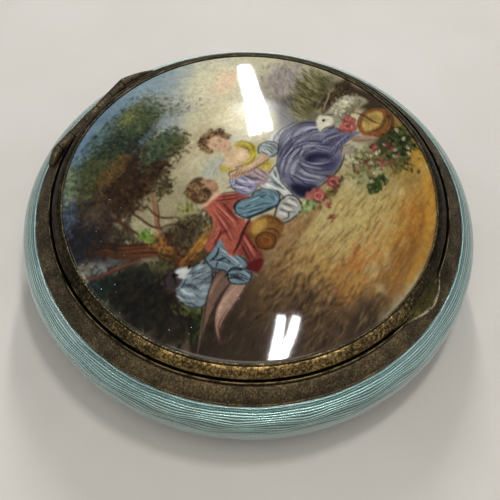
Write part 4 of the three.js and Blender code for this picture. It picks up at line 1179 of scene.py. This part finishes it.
folds([((12.3, -1), (12.9, -1.6), (13.4, -2)), ((10.3, -2.2), (10.9, -2.3), (11.6, -2.6)),
       ((11, -2.5), (11.5, -2.9), (12.1, -2.8))], "26221e", 0.15, 0.85)
dabs(11.8, -1.6, 0.1, 0.1, 6, "15120f", 0.12, 1.4, 10, 20, 0.95)
stroke([(12.6, -1.1), (14.4, -0.9), (16.2, -1), (17.6, -1.9)], "3a3226", 0.12, 0.6)
fill([(12.9, -5.8), (13.4, -7.2), (14.6, -7.8), (16.2, -7.9), (17.5, -7.2), (18, -5.8), (15.5, -4.6)],
     "6b4528", 0.1, 1, 0.4)
fill([(12.9, -5.7), (13.8, -4.7), (15.4, -4.3), (17, -4.6), (17.9, -5.6), (17.2, -6.6), (15.4, -7),
      (13.7, -6.6)], "78532e", 0.08, 1, 0.3)
fill([(13.5, -5.7), (14.2, -5), (15.4, -4.7), (16.6, -4.9), (17.3, -5.6), (16.7, -6.3), (15.4, -6.6),
      (14.1, -6.3)], "a68d55", 0.08, 1, 0.3)
stroke([(15.1, -3.4), (15.4, -4.6), (15.3, -5.8), (15.6, -6.8)], "54321a", 0.3, 0.9)
folds([((13.2, -6.6), (15.3, -7.3), (17.6, -6.6)), ((13.6, -7.1), (15.4, -7.6), (17.2, -7))],
      "a87c42", 0.12, 0.7)
folds([((13, -5.7), (13.8, -4.7), (15.4, -4.3), (17, -4.6), (17.9, -5.6)),
       ((13.2, -6.2), (15.3, -6.9), (17.5, -6.3))], "3f2614", 0.12, 0.8)
fill([(9, -5.4), (10, -5.3), (10.8, -5.8), (10.4, -6.5), (9.4, -6.3)], "958a7c", 0.08)
stroke([(8.9, -5.5), (9.8, -5.2), (10.8, -5.6)], "2a2624", 0.12, 0.8)
fill([(11.3, -5.3), (12.2, -5.4), (13, -6.2), (13.6, -7.4), (12.6, -7), (11.6, -6.2)], "967f6a", 0.08)
stroke([(11.3, -5.6), (12.2, -6.5), (13.4, -7.5)], "4a3628", 0.1, 0.8)

# %% [markdown]
# ### Roses and the garland
# A rose in this style is a round dark pink patch with three lighter petal edges and a darker
# line inside each. The garland is a scatter of tiny pale and pink blossoms over dark leaves.

# %% Roses, leaves and small flowers
def rose(x, y, size):
    """A small pink rose with lighter and darker petals."""
    dabs(x, y, size, size * 0.9, 26, "935048 a8645a 6f3436", size * 0.5, 1.2, 0, 90, 0.75)
    for turn in (0.4, 2.3, 4.4):
        arc = [(x + size * 0.55 * math.cos(turn + t), y + size * 0.5 * math.sin(turn + t))
               for t in (0, 0.8, 1.6)]
        stroke(arc, "d99a90", 0.16, 0.75)
        stroke([(x + (px - x) * 0.5, y + (py - y) * 0.5) for px, py in arc], "5a1c24", 0.12, 0.8)


wash(4.6, -7.3, 2, 0.5, "54423a", 0.45)
dabs(1, -6.3, 1, 0.6, 60, "6c8050 8a9a68 3f4c30 a9b488", 0.2, 1.8, 20, 60, 0.65)
for place in [(2.7, -6.5, 0.8), (5.2, -6.8, 0.78), (12.8, -4.1, 0.8), (13.8, -3.5, 0.4)]:
    rose(*place)
dabs(4, -7.3, 2.6, 0.4, 60, "4a4a2c 6d6238 38301e", 0.14, 1.8, 20, 60, 0.6)
dabs(9.5, -8.2, 3.2, 1.6, 260, "4c5030 6c6c48 87855c 34351f", 0.16, 1.6, 20, 80, 0.5, -16)
dabs(14.6, -9.6, 2.8, 1.7, 420, "2a3019 3c4424 4f5a30 1f2114", 0.2, 1.6, 30, 80, 0.6, 30)
dabs(8, -10.4, 1.5, 0.7, 90, "33401f 47552c 26301a", 0.18, 1.8, 20, 60, 0.7)
dabs(11, -9, 3.6, 1.9, 46, "8c3a44 a8545c 6d2530", 0.17, 1.1, 0, 90, 0.7, -12)
for x, y in [(8.8, -7.4), (9.1, -9.5), (7.8, -9.9), (13.3, -9.7), (14.6, -10.6), (14, -11),
             (10.6, -7.9), (11.6, -8.4), (12.4, -10.1), (15.4, -9.6), (9.9, -8.6), (13, -8.4),
             (16, -8.4)]:
    dabs(x, y, 0.28, 0.24, 8, "b5b094 cfcaae 96907a", 0.14, 1.2, 0, 90, 0.65)
    dabs(x, y, 0.05, 0.05, 2, "8a6a30", 0.1, 1.1, 0, 90, 0.8)
for x, y in [(10.9, -9.3), (12, -7.6), (13.5, -8.9), (1.3, -8.8), (2.5, -8)]:
    dabs(x, y, 0.42, 0.36, 12, "7d4238 a36a58 5c2c28", 0.18, 1.2, 0, 90, 0.7)
dabs(11.5, -11.2, 1.6, 0.5, 60, "5c5a30 7a7440 454423", 0.13, 2, 20, 50, 0.5)

# %% [markdown]
# ### Firing
# Firing sinks every stroke a little into the glass and leaves the fine speckle of ground
# pigment. So the finished canvas gets a faint mottling, is softened by less than a tenth of
# a millimetre, and is read off at every vertex of the plate. Colours on a mesh are stored as
# light and not as screen values, so they are raised to the usual power first.

# %% Fire the canvas on to the plate
SPECKLE, CLOUD = 0.16, 0.1   # strength of the fine and of the broad mottling
CANVAS_GAIN = 0.965          # the glaze swallows a little light
DEPTH = 1.12                 # firing deepens the darks
canvas *= (1 + SPECKLE * (mottling(0.1, 21) - 0.5) + CLOUD * (mottling(0.35, 22) - 0.5))[..., None]
fired = np.stack([softened(canvas[..., c], 1) for c in range(3)], axis=-1).clip(0, 1) ** DEPTH


def store_picture(piece, picture):
    """Reads the picture off at every vertex and stores it as a colour attribute."""
    mesh = piece.data
    place = np.zeros(len(mesh.vertices) * 3)
    mesh.vertices.foreach_get("co", place)
    column, row = ((place.reshape(-1, 3)[:, k] / MM + CANVAS_HALF) / CELL - 0.5 for k in (0, 1))
    i, j = np.floor(column).astype(int), np.floor(row).astype(int)
    u, v = (column - i)[:, None], (row - j)[:, None]
    colour = ((picture[j, i] * (1 - u) + picture[j, i + 1] * u) * (1 - v)
              + (picture[j + 1, i] * (1 - u) + picture[j + 1, i + 1] * u) * v)
    light = np.ones((len(colour), 4))
    light[:, :3] = (colour * CANVAS_GAIN) ** SCREEN_POWER
    layer = mesh.color_attributes.new("picture", "FLOAT_COLOR", "POINT")
    layer.data.foreach_set("color", light.ravel())
    print(f"picture on {len(light)} vertices, mean colour {colour.mean(0).round(3)}")


store_picture(plaque_enamel, fired)

# %% [markdown]
# ## Finishes
# Every finish is a small network of nodes around one shader. The patterns are laid out on
# each piece's own coordinates, in millimetres, so that a fleck of tarnish has a real size.
# A short class keeps the cells readable. It makes the material, hands out the coordinates
# and wires up each new node in one line, and it has short names for the usual sums.

# %% A workbench for finishes
def screen(code):
    """A colour code as the light values that a shader wants."""
    return (*(pigment(code) ** SCREEN_POWER), 1.0)


class Finish:
    """A material with a Principled shader and short ways to add nodes to it."""

    def __init__(self, name, **settings):
        self.material = bpy.data.materials.new(name)
        self.material.use_nodes = True
        self.tree = self.material.node_tree
        self.shader = self.tree.nodes["Principled BSDF"]
        self.give(**settings)
        place = self.add("ShaderNodeTexCoord").outputs["Object"]
        scaled = self.add("ShaderNodeVectorMath", {0: place, 3: 1 / MM}, operation="SCALE")
        self.place = scaled.outputs[0]
        split = self.add("ShaderNodeSeparateXYZ", {0: self.place})
        self.x, self.y, self.z = split.outputs
        square = self.plus(self.times(self.x, self.x), self.times(self.y, self.y))
        self.radius = self.sum("SQRT", square)
        self.turn = self.sum("ARCTAN2", self.x, self.times(self.y, -1.0))

    def add(self, kind, inputs=None, **settings):
        node = self.tree.nodes.new(kind)
        for name, value in settings.items():
            setattr(node, name, value)
        for socket, value in (inputs or {}).items():
            self.feed(node.inputs[socket], value)
        return node

    def feed(self, socket, value):
        if isinstance(value, bpy.types.NodeSocket):
            self.tree.links.new(value, socket)
        else:
            socket.default_value = value

    def give(self, **values):
        """Gives the shader's sockets a value or a wire. An underscore stands for a space."""
        for socket, value in values.items():
            self.feed(self.shader.inputs[socket.replace("_", " ")], value)

    def sum(self, operation, a, b=0.0):
        return self.add("ShaderNodeMath", {0: a, 1: b}, operation=operation).outputs[0]

    def times(self, a, b):
        return self.sum("MULTIPLY", a, b)

    def plus(self, a, b):
        return self.sum("ADD", a, b)

    def minus(self, a, b):
        return self.sum("SUBTRACT", a, b)

    def spots(self, scale, detail=3.0, rough=0.55, where=None, distortion=0.0):
        """Cloudy noise, scale spots to the millimetre."""
        node = self.add("ShaderNodeTexNoise", {"Vector": where or self.place, "Scale": scale,
                                               "Detail": detail, "Roughness": rough,
                                               "Distortion": distortion})
        return node.outputs["Fac"]

    def pits(self, scale, low, high):
        """Small round spots: 1 in a spot's middle and 0 outside it."""
        node = self.add("ShaderNodeTexVoronoi", {"Vector": self.place, "Scale": scale})
        return self.span(node.outputs["Distance"], high, low)

    def span(self, value, low, high):
        """Stretches low..high to 0..1 with soft ends."""
        node = self.add("ShaderNodeMapRange", {"Value": value, "From Min": low, "From Max": high},
                        interpolation_type="SMOOTHSTEP")
        return node.outputs["Result"]

    def lerp(self, value, low, high):
        """Turns 0..1 into low..high."""
        node = self.add("ShaderNodeMapRange", {"Value": value, "To Min": low, "To Max": high})
        return node.outputs["Result"]

    def blend(self, amount, below, above, kind="MIX"):
        """Mixes two colours, given as codes or as sockets."""
        node = self.add("ShaderNodeMix", {0: amount}, data_type="RGBA", blend_type=kind)
        for k, colour in ((6, below), (7, above)):
            self.feed(node.inputs[k], screen(colour) if isinstance(colour, str) else colour)
        return node.outputs[2]

    def relief(self, height, depth, under=None):
        """A bump whose height of 1 stands depth mm high."""
        node = self.add("ShaderNodeBump", {"Height": height, "Distance": depth * MM})
        if under:
            self.feed(node.inputs["Normal"], under)
        return node.outputs["Normal"]

    def wear(self, *pieces):
        """Puts the finish on pieces."""
        for piece in pieces:
            piece.data.materials.clear()
            piece.data.materials.append(self.material)


# %% [markdown]
# ### Old gilt
# Gilding on a brass or silver box wears through in patches. What is left is a patchwork:
# near-black tarnish in the corners, brown and olive films over most of it, and bright metal
# where it is rubbed. All the metal here is one recipe with different shares of these, so a
# single function makes every kind. Fine turning marks run round the piece, and small pits
# and specks break up the reflections.

# %% The gilt recipe
HIGHLIGHT_SIDE = (-0.78, -0.62)       # direction of the side painted lighter, a painted highlight


def gilt_finish(name, dark, film, metal, bright, rubbed, roughness, marks=0.005,
                highlight_share=0.0, contrast=1.0, grain=5.0):
    """A worn gilt. rubbed is the share of bright metal, and one side can get more of it as a
    painted highlight. grain is the number of flecks to the mm and contrast sharpens them."""
    f = Finish(name, Metallic=1.0)
    patches = f.spots(0.42, 5.0, 0.65, distortion=0.4)
    flecks = f.plus(f.times(f.spots(grain, 5.0, 0.75), contrast), (1 - contrast) / 2)
    crumbs = f.spots(15.0, 2.0, 0.6)
    # Painted highlight: the side of the piece that faces the direction above gets more bright metal.
    toward_highlight = f.plus(f.times(f.x, HIGHLIGHT_SIDE[0]), f.times(f.y, HIGHLIGHT_SIDE[1]))
    painted_highlight = f.times(f.span(toward_highlight, 8.0, 19.5), highlight_share)
    worn = f.plus(f.plus(f.times(patches, 0.8), flecks), f.plus(painted_highlight, f.times(crumbs, 0.4)))
    middle = 1.1 + 0.6 * (0.5 - rubbed)
    filmed = f.blend(f.span(worn, middle - 0.4, middle), dark, film)
    metal_share = f.span(worn, middle - 0.06, middle + 0.2)
    worn_metal = f.blend(metal_share, filmed, metal)
    bright_share = f.span(worn, middle + 0.14, middle + 0.4)
    colour = f.blend(bright_share, worn_metal, bright)
    specks = f.pits(2.6, 0.08, 0.2)
    speck_here = f.times(specks, f.span(f.spots(1.1), 0.45, 0.6))
    colour = f.blend(f.times(speck_here, 0.7), colour, dark)
    f.give(Base_Color=colour)
    shine = f.times(f.plus(metal_share, bright_share), 0.5)
    f.give(Roughness=f.plus(f.lerp(shine, roughness[1], roughness[0]),
                            f.times(f.minus(crumbs, 0.5), 0.3)))
    round_place = f.add("ShaderNodeCombineXYZ",
                        {0: f.times(f.radius, 14.0), 1: f.turn, 2: f.times(f.z, 14.0)}).outputs[0]
    turning = f.spots(1.0, 3.0, 0.7, where=round_place)
    skin = f.minus(f.plus(f.times(flecks, 0.9), f.times(crumbs, 0.6)), f.times(speck_here, 0.9))
    f.give(Normal=f.relief(skin, 0.016, f.relief(turning, marks)))
    return f


tarnished_gilt = gilt_finish("tarnished_gilt", "211d17", "4a4235", "6f6149", "a3895a",
                             rubbed=0.38, roughness=(0.42, 0.6), highlight_share=0.1, contrast=1.35)
tarnished_gilt.wear(rim_plate, *box_knuckles, *hinge_ends, *lid_knuckles)
thumb_gilt = gilt_finish("thumb_gilt", "221f15", "454029", "625a3a", "a59468",
                         rubbed=0.36, roughness=(0.34, 0.52))
f = thumb_gilt
under = f.shader.inputs["Base Color"].links[0].from_socket
edge = f.times(f.add("ShaderNodeAttribute", attribute_name="rubbed").outputs["Fac"],
               f.span(f.spots(2.0, 3.0), 0.32, 0.6))
f.give(Base_Color=f.blend(f.times(edge, 0.85), under, "cfc29c"))
thumb_gilt.wear(thumbpiece)
old_gilt = gilt_finish("old_gilt", "2e2412", "6e5930", "a58a50", "d9c284",
                       rubbed=0.62, roughness=(0.26, 0.46))
old_gilt.wear(foot_ring, collar, catch_bead, body_pan)
bright_gilt = gilt_finish("bright_gilt", "352c1a", "6a5a38", "a08c5c", "e6d8ae",
                          rubbed=0.5, roughness=(0.2, 0.4), marks=0.003)
bright_gilt.wear(lid_lining)
ring_gilt = gilt_finish("ring_gilt", "211c14", "4c4534", "867c62", "d9d0b4",
                        rubbed=0.28, roughness=(0.26, 0.46), marks=0.003, contrast=1.6)
ring_gilt.wear(setting_ring)

# %% [markdown]
# The lid frame needs more care than the rest. Its lip and groove are painted almost black,
# a painted shade in the groove and under the bezel. Its bezel is olive brown and painted
# more golden on the front side, a painted highlight, and the thin raised edges are bright in
# patches all the way round. Height and radius tell these zones apart, so they steer the
# same patchwork.

# %% The lid frame's finish
f = gilt_finish("lid_gilt", "1a1610", "3d3527", "6a5a3c", "c09e66", rubbed=0.12,
                roughness=(0.34, 0.54), highlight_share=0.4, contrast=1.9, grain=3.6)
base_link = f.shader.inputs["Base Color"].links[0].from_socket
up = f.minus(f.z, LID_Z)
# Painted shade: the groove and the lip below the bezel are darkened almost to black.
in_groove = f.times(f.span(up, 0.62, 0.52), f.span(f.radius, 20.80, 20.70))
on_lip = f.times(f.span(up, 0.66, 0.58), f.span(f.radius, 20.5, 20.6))
shadowed = f.sum("MAXIMUM", in_groove, f.times(on_lip, 0.72))
zone = f.blend(shadowed, base_link, "0f0d0a")
lip_edge = f.times(f.span(f.radius, LID_R - 0.1, LID_R - 0.03), f.span(up, 0.36, 0.5))
foot_edge = f.times(f.span(f.radius, 20.40, 20.44), f.span(up, 0.58, 0.66))
patchy = f.span(f.spots(0.8, 3.0), 0.36, 0.6)
bright_line = f.times(f.sum("MAXIMUM", lip_edge, foot_edge), patchy)
f.give(Base_Color=f.blend(f.times(bright_line, 0.45), zone, "c8b68c"))
f.wear(lid_frame)
print("gilt finishes:", [m.name for m in bpy.data.materials if "gilt" in m.name])

# %% [markdown]
# ### Engine-turned enamel
# Under the turquoise glass the silver is cut on a lathe with a rocking head, which leaves
# fine wavy lines round the box. Light goes through the glass, glints off the cuts and comes
# back green. A shader can do this in two layers: the engraved, slightly metallic ground
# has the bump and the colour of the glass, and a clear coat over it has its own smooth
# normal. Deeper cuts hold more glass, so they are darker, and the ridges between them are
# painted pale green, a painted glint. Lower down the belly the glass is painted a darker
# grey blue, a painted shade and reflection.

# %% Turquoise enamel
WAVES = 22                   # waves in one turn round the box
LINE_PITCH = 0.25            # distance between the cut lines in mm


def engraved_enamel(name, pitch=LINE_PITCH, fade=(2.4, 4.4)):
    """Turquoise glass over wavy cut lines that fade out between two distances down."""
    f = Finish(name, Coat_Weight=1.0, Coat_Roughness=0.04, Coat_IOR=1.5)
    down = f.add("ShaderNodeAttribute", attribute_name="down").outputs["Fac"]
    swing = f.lerp(f.span(down, 0.3, 3.0), 0.02, 0.17)
    lean = f.plus(f.times(f.turn, float(WAVES)), f.times(down, 1.6))
    wave = f.times(f.sum("SINE", lean), swing)
    second = f.times(f.sum("SINE", f.minus(f.times(f.turn, float(WAVES)), f.times(down, 2.6))),
                     f.times(swing, 0.5))
    path = f.plus(f.plus(down, wave), f.plus(second, f.times(f.minus(f.spots(0.5), 0.5), 0.12)))
    cut = f.sum("SINE", f.times(path, 2 * math.pi / pitch))
    depth = f.lerp(f.span(down, fade[0], fade[1]), 1.0, 0.06)
    height = f.times(cut, depth)
    grain = f.spots(7.0, 3.0, 0.7)
    clouds = f.spots(0.35, 3.0)
    bundle = f.span(f.sum("SINE", f.plus(f.times(path, 2.2 * math.pi), f.times(clouds, 2.0))), 0.1, 0.95)
    bundle = f.times(bundle, f.times(f.span(down, 0.5, 1.6), depth))
    # Painted glint and real depth: the ridges of the cuts are painted pale and the troughs dark.
    glint_and_depth = f.plus(f.times(height, 0.24), f.times(grain, 0.5))
    glass = f.blend(f.span(glint_and_depth, -0.05, 0.55), "385a5b", "b8d8d0")
    glass = f.blend(f.times(bundle, 0.6), glass, "35585a")
    # Painted shade and reflection: lower down the belly the glass turns a darker grey blue.
    glass = f.blend(f.times(f.span(down, 2.4, 5.0), 0.72), glass, "587f87")
    rim_line = f.span(f.sum("ABSOLUTE", f.minus(down, 0.28)), 0.13, 0.04)
    glass = f.blend(f.times(rim_line, 0.7), glass, "2f5856")
    glass = f.blend(f.times(f.span(clouds, 0.4, 0.7), 0.22), glass, "8fb7b6")
    f.give(Base_Color=glass)
    f.give(Metallic=f.lerp(depth, 0.3, 0.85))
    f.give(Roughness=f.lerp(grain, 0.2, 0.42))
    f.give(Normal=f.relief(f.plus(height, f.times(grain, depth)), 0.03))
    f.give(Coat_Normal=f.relief(f.spots(0.8, 1.0), 0.01))
    return f


engraved_enamel("turquoise_enamel").wear(side_enamel)
engraved_enamel("turquoise_base_enamel", pitch=0.42, fade=(16.0, 17.0)).wear(base_enamel)

# %% [markdown]
# ### Painted enamel, copper and the rest
# The painted plate shows the stored picture. Two faint noises give it the broken edge of
# brushwork between the vertices. A hard clear coat with a slow ripple carries the
# reflections, and a few pinholes and pale crumbs sit in it, as they do on any plaque that
# has been through the fire six times.

# %% Painted enamel
f = Finish("painted_enamel", Roughness=0.5, Specular_IOR_Level=0.0, Coat_Weight=1.0,
           Coat_Roughness=0.045, Coat_IOR=1.5)
picture = f.add("ShaderNodeAttribute", attribute_name="picture").outputs["Color"]
brushwork = f.spots(5.0, 4.0, 0.7)
stipple = f.spots(16.0, 2.0, 0.6)
strength = f.plus(f.times(brushwork, 0.5), f.times(stipple, 0.3))
shade = f.lerp(strength, 0.72, 1.42)
grey = f.add("ShaderNodeCombineColor", {0: shade, 1: shade, 2: shade}).outputs[0]
picture = f.blend(1.0, picture, grey, "MULTIPLY")
crumb_zone = f.span(f.spots(0.32, 2.0), 0.5, 0.62)
crumbs = f.times(f.pits(1.5, 0.05, 0.1), f.times(crumb_zone, f.span(f.x, -4.0, -12.0)))
picture = f.blend(f.times(crumbs, 0.9), picture, "c9cdd0")
pinholes = f.times(f.pits(1.1, 0.03, 0.07), f.span(f.spots(0.5), 0.5, 0.6))
picture = f.blend(f.times(pinholes, 0.8), picture, "2a241c")
f.give(Base_Color=picture)
ripple = f.relief(f.spots(0.22, 1.0, 0.4), 0.018)
ripple = f.relief(f.spots(5.0, 3.0, 0.7), 0.0005, ripple)
f.give(Coat_Normal=f.relief(f.minus(crumbs, pinholes), 0.03, ripple))
f.wear(plaque_enamel)

# %% Counter enamel, copper and the pin
f = Finish("counter_enamel", Roughness=0.3, Coat_Weight=0.6, Coat_Roughness=0.1)
haze = f.blend(f.span(f.spots(0.9), 0.3, 0.7), "a9aea0", "cfd0c2")
f.give(Base_Color=f.blend(f.pits(2.0, 0.05, 0.2), haze, "7d8078"))
f.give(Normal=f.relief(f.spots(1.5), 0.03))
f.wear(counter_enamel)

f = Finish("copper", Metallic=1.0)
fire_skin = f.span(f.spots(0.8, 4.0, 0.6), 0.35, 0.65)
f.give(Base_Color=f.blend(fire_skin, "7a3f28", "c98a66"))
f.give(Roughness=f.lerp(fire_skin, 0.5, 0.3))
f.give(Normal=f.relief(f.spots(6.0), 0.01))
f.wear(plaque_copper)

f = Finish("pin_metal", Metallic=1.0)
along = f.add("ShaderNodeCombineXYZ", {0: f.x, 1: f.times(f.y, 12.0), 2: f.times(f.z, 12.0)}).outputs[0]
drawn_marks = f.spots(1.0, 3.0, where=along)
f.give(Base_Color=f.blend(drawn_marks, "6f6c66", "b5b2aa"))
f.give(Roughness=f.lerp(drawn_marks, 0.45, 0.25))
f.give(Normal=f.relief(drawn_marks, 0.006))
f.wear(hinge_pin)

# %% [markdown]
# ## Floor, light and camera
# The box stands on a plain pale sheet. Most of the light comes from a soft sky that is
# dimmer in front of the box and where the glossy dome mirrors it, so the dark colours under
# the glass stay dark. Three large soft lamps, overhead and at both sides, fill in the
# shadows. Two bundles of narrow strip lamps stand where the dome mirrors them towards the
# camera, which gives the long white glints that tell the eye it is glass.

# %% Floor
floor_work = bmesh.new()
bmesh.ops.create_grid(floor_work, x_segments=1, y_segments=1, size=1.5)
floor = shown("floor", floor_work)
f = Finish("floor_sheet", Roughness=0.75)
fibres = f.blend(f.span(f.spots(0.05, 4.0), 0.3, 0.7), "c6c1ba", "ccc8c2")
f.give(Base_Color=fibres)
f.wear(floor)

# %% Light
def area_lamp(name, place, aim, wide, tall, power):
    """A rectangular lamp at a place in mm, facing aim."""
    lamp = bpy.data.lights.new(name, "AREA")
    lamp.shape = "RECTANGLE"
    lamp.size, lamp.size_y, lamp.energy = wide * MM, tall * MM, power
    holder = bpy.data.objects.new(name, lamp)
    holder.rotation_mode = "QUATERNION"
    holder.rotation_quaternion = (Vector(place) - Vector(aim)).to_track_quat("Z", "Y")
    holder.location = Vector(place) * MM
    bpy.context.scene.collection.objects.link(holder)
    return holder


def strip_lamp(name, start, end, aim, width, radiance):
    """A narrow lamp whose long side runs from start to end, both in mm."""
    start, end, aim = Vector(start), Vector(end), Vector(aim)
    middle, along = (start + end) / 2, (end - start)
    back = (middle - aim).normalized()
    side = along.normalized().cross(back).normalized()
    lamp = area_lamp(name, middle, aim, width, along.length,
                     radiance * math.pi * width * along.length * MM * MM)
    upright = back.cross(side).normalized()
    holder_axes = Matrix((side, upright, back)).transposed()
    lamp.rotation_quaternion = holder_axes.to_quaternion()
    return lamp


PLAQUE_MIDDLE = (0, 0, 12)
for name, start, end, width, radiance in [
        ("window_strip_a", (237, 160.6, 131), (196.6, 121.6, 220), 6.5, 60),
        ("window_strip_b", (238, 159.6, 130.4), (200.4, 117.6, 217.5), 6.5, 60),
        ("window_strip_c", (239, 158.6, 129.8), (207, 111.2, 213.4), 8, 60),
        ("ceiling_strip_a", (-2, -36, 309), (45, -15, 308.5), 7.5, 95),
        ("ceiling_strip_b", (3, -43, 308), (53, -28.5, 306), 8, 95)]:
    strip_lamp(name, start, end, PLAQUE_MIDDLE, width, radiance)
area_lamp("soft_right", (170, -370, 260), (0, 0, 0), 200, 160, 0.1)
area_lamp("soft_left", (-250, 380, 230), (0, 0, 0), 260, 160, 0.2)
overhead = area_lamp("soft_overhead", (-150, -95, 420), (0, 0, 0), 300, 300, 0.52)
overhead.data.color = (1.0, 0.9, 0.76)

world = bpy.data.worlds.new("soft_sky")
world.use_nodes = True
tree = world.node_tree
sky_place = tree.nodes.new("ShaderNodeTexCoord").outputs["Generated"]


def patched(direction, near, far, factor):
    """A sky factor that goes from 1 to factor as the cosine to a direction goes far to near."""
    toward = tree.nodes.new("ShaderNodeVectorMath")
    toward.operation = "DOT_PRODUCT"
    toward.inputs[1].default_value = Vector(direction).normalized()
    tree.links.new(sky_place, toward.inputs[0])
    node = tree.nodes.new("ShaderNodeMapRange")
    node.interpolation_type = "SMOOTHSTEP"
    for socket, value in (("From Min", far), ("From Max", near), ("To Min", 1.0), ("To Max", factor)):
        node.inputs[socket].default_value = value
    tree.links.new(toward.outputs["Value"], node.inputs["Value"])
    return node.outputs["Result"]


SKY = 0.73
DIM_WHERE_MIRRORED = ((0.52, 0.33, 0.79), 0.86, 0.45, 0.2)
DIM_IN_FRONT = ((-0.80, -0.58, 0.1), 0.9, 0.2, 0.2)
GLOW_AT_STRIPS = ((0.668, 0.394, 0.631), 1.0, 0.9925, 24)
GLOW_BELOW_STRIPS = ((0.70, 0.44, 0.56), 1.0, 0.996, 4)
level = SKY
for patch in (DIM_WHERE_MIRRORED, DIM_IN_FRONT, GLOW_AT_STRIPS, GLOW_BELOW_STRIPS):
    node = tree.nodes.new("ShaderNodeMath")
    node.operation = "MULTIPLY"
    tree.links.new(patched(*patch), node.inputs[0])
    if level is SKY:
        node.inputs[1].default_value = level
    else:
        tree.links.new(level, node.inputs[1])
    level = node.outputs[0]
tree.links.new(level, tree.nodes["Background"].inputs["Strength"])
tree.nodes["Background"].inputs["Color"].default_value = (0.94, 0.962, 1.0, 1)
bpy.context.scene.world = world
bpy.context.scene.view_settings.view_transform = "Standard"

# %% [markdown]
# The camera looks down at the box from close by with a moderate lens, turned so that the
# hinge is away to the upper left and the thumbpiece near the lower right.

# %% Camera
AIM = Vector((0, 0, 9))
DISTANCE = 112.5
CAMERA_TURN = math.radians(-58)
CAMERA_RISE = math.radians(55.6)
CAMERA_ROLL = math.radians(1.91)
camera_data = bpy.data.cameras.new("camera")
camera_data.lens = 76.5
camera_data.sensor_width = 36
camera_data.shift_x = 0.001
camera_data.shift_y = -0.079
camera_data.clip_start, camera_data.clip_end = 0.005, 10
back = Vector((math.sin(CAMERA_TURN) * math.cos(CAMERA_RISE),
               -math.cos(CAMERA_TURN) * math.cos(CAMERA_RISE), math.sin(CAMERA_RISE)))
camera = bpy.data.objects.new("camera", camera_data)
camera.location = (AIM + back * DISTANCE) * MM
camera.rotation_mode = "QUATERNION"
camera.rotation_quaternion = ((-back).to_track_quat("-Z", "Y")
                              @ Matrix.Rotation(CAMERA_ROLL, 3, "Z").to_quaternion())
bpy.context.scene.collection.objects.link(camera)
bpy.context.scene.camera = camera
print("camera at", [round(c / MM, 1) for c in camera.location], "mm")
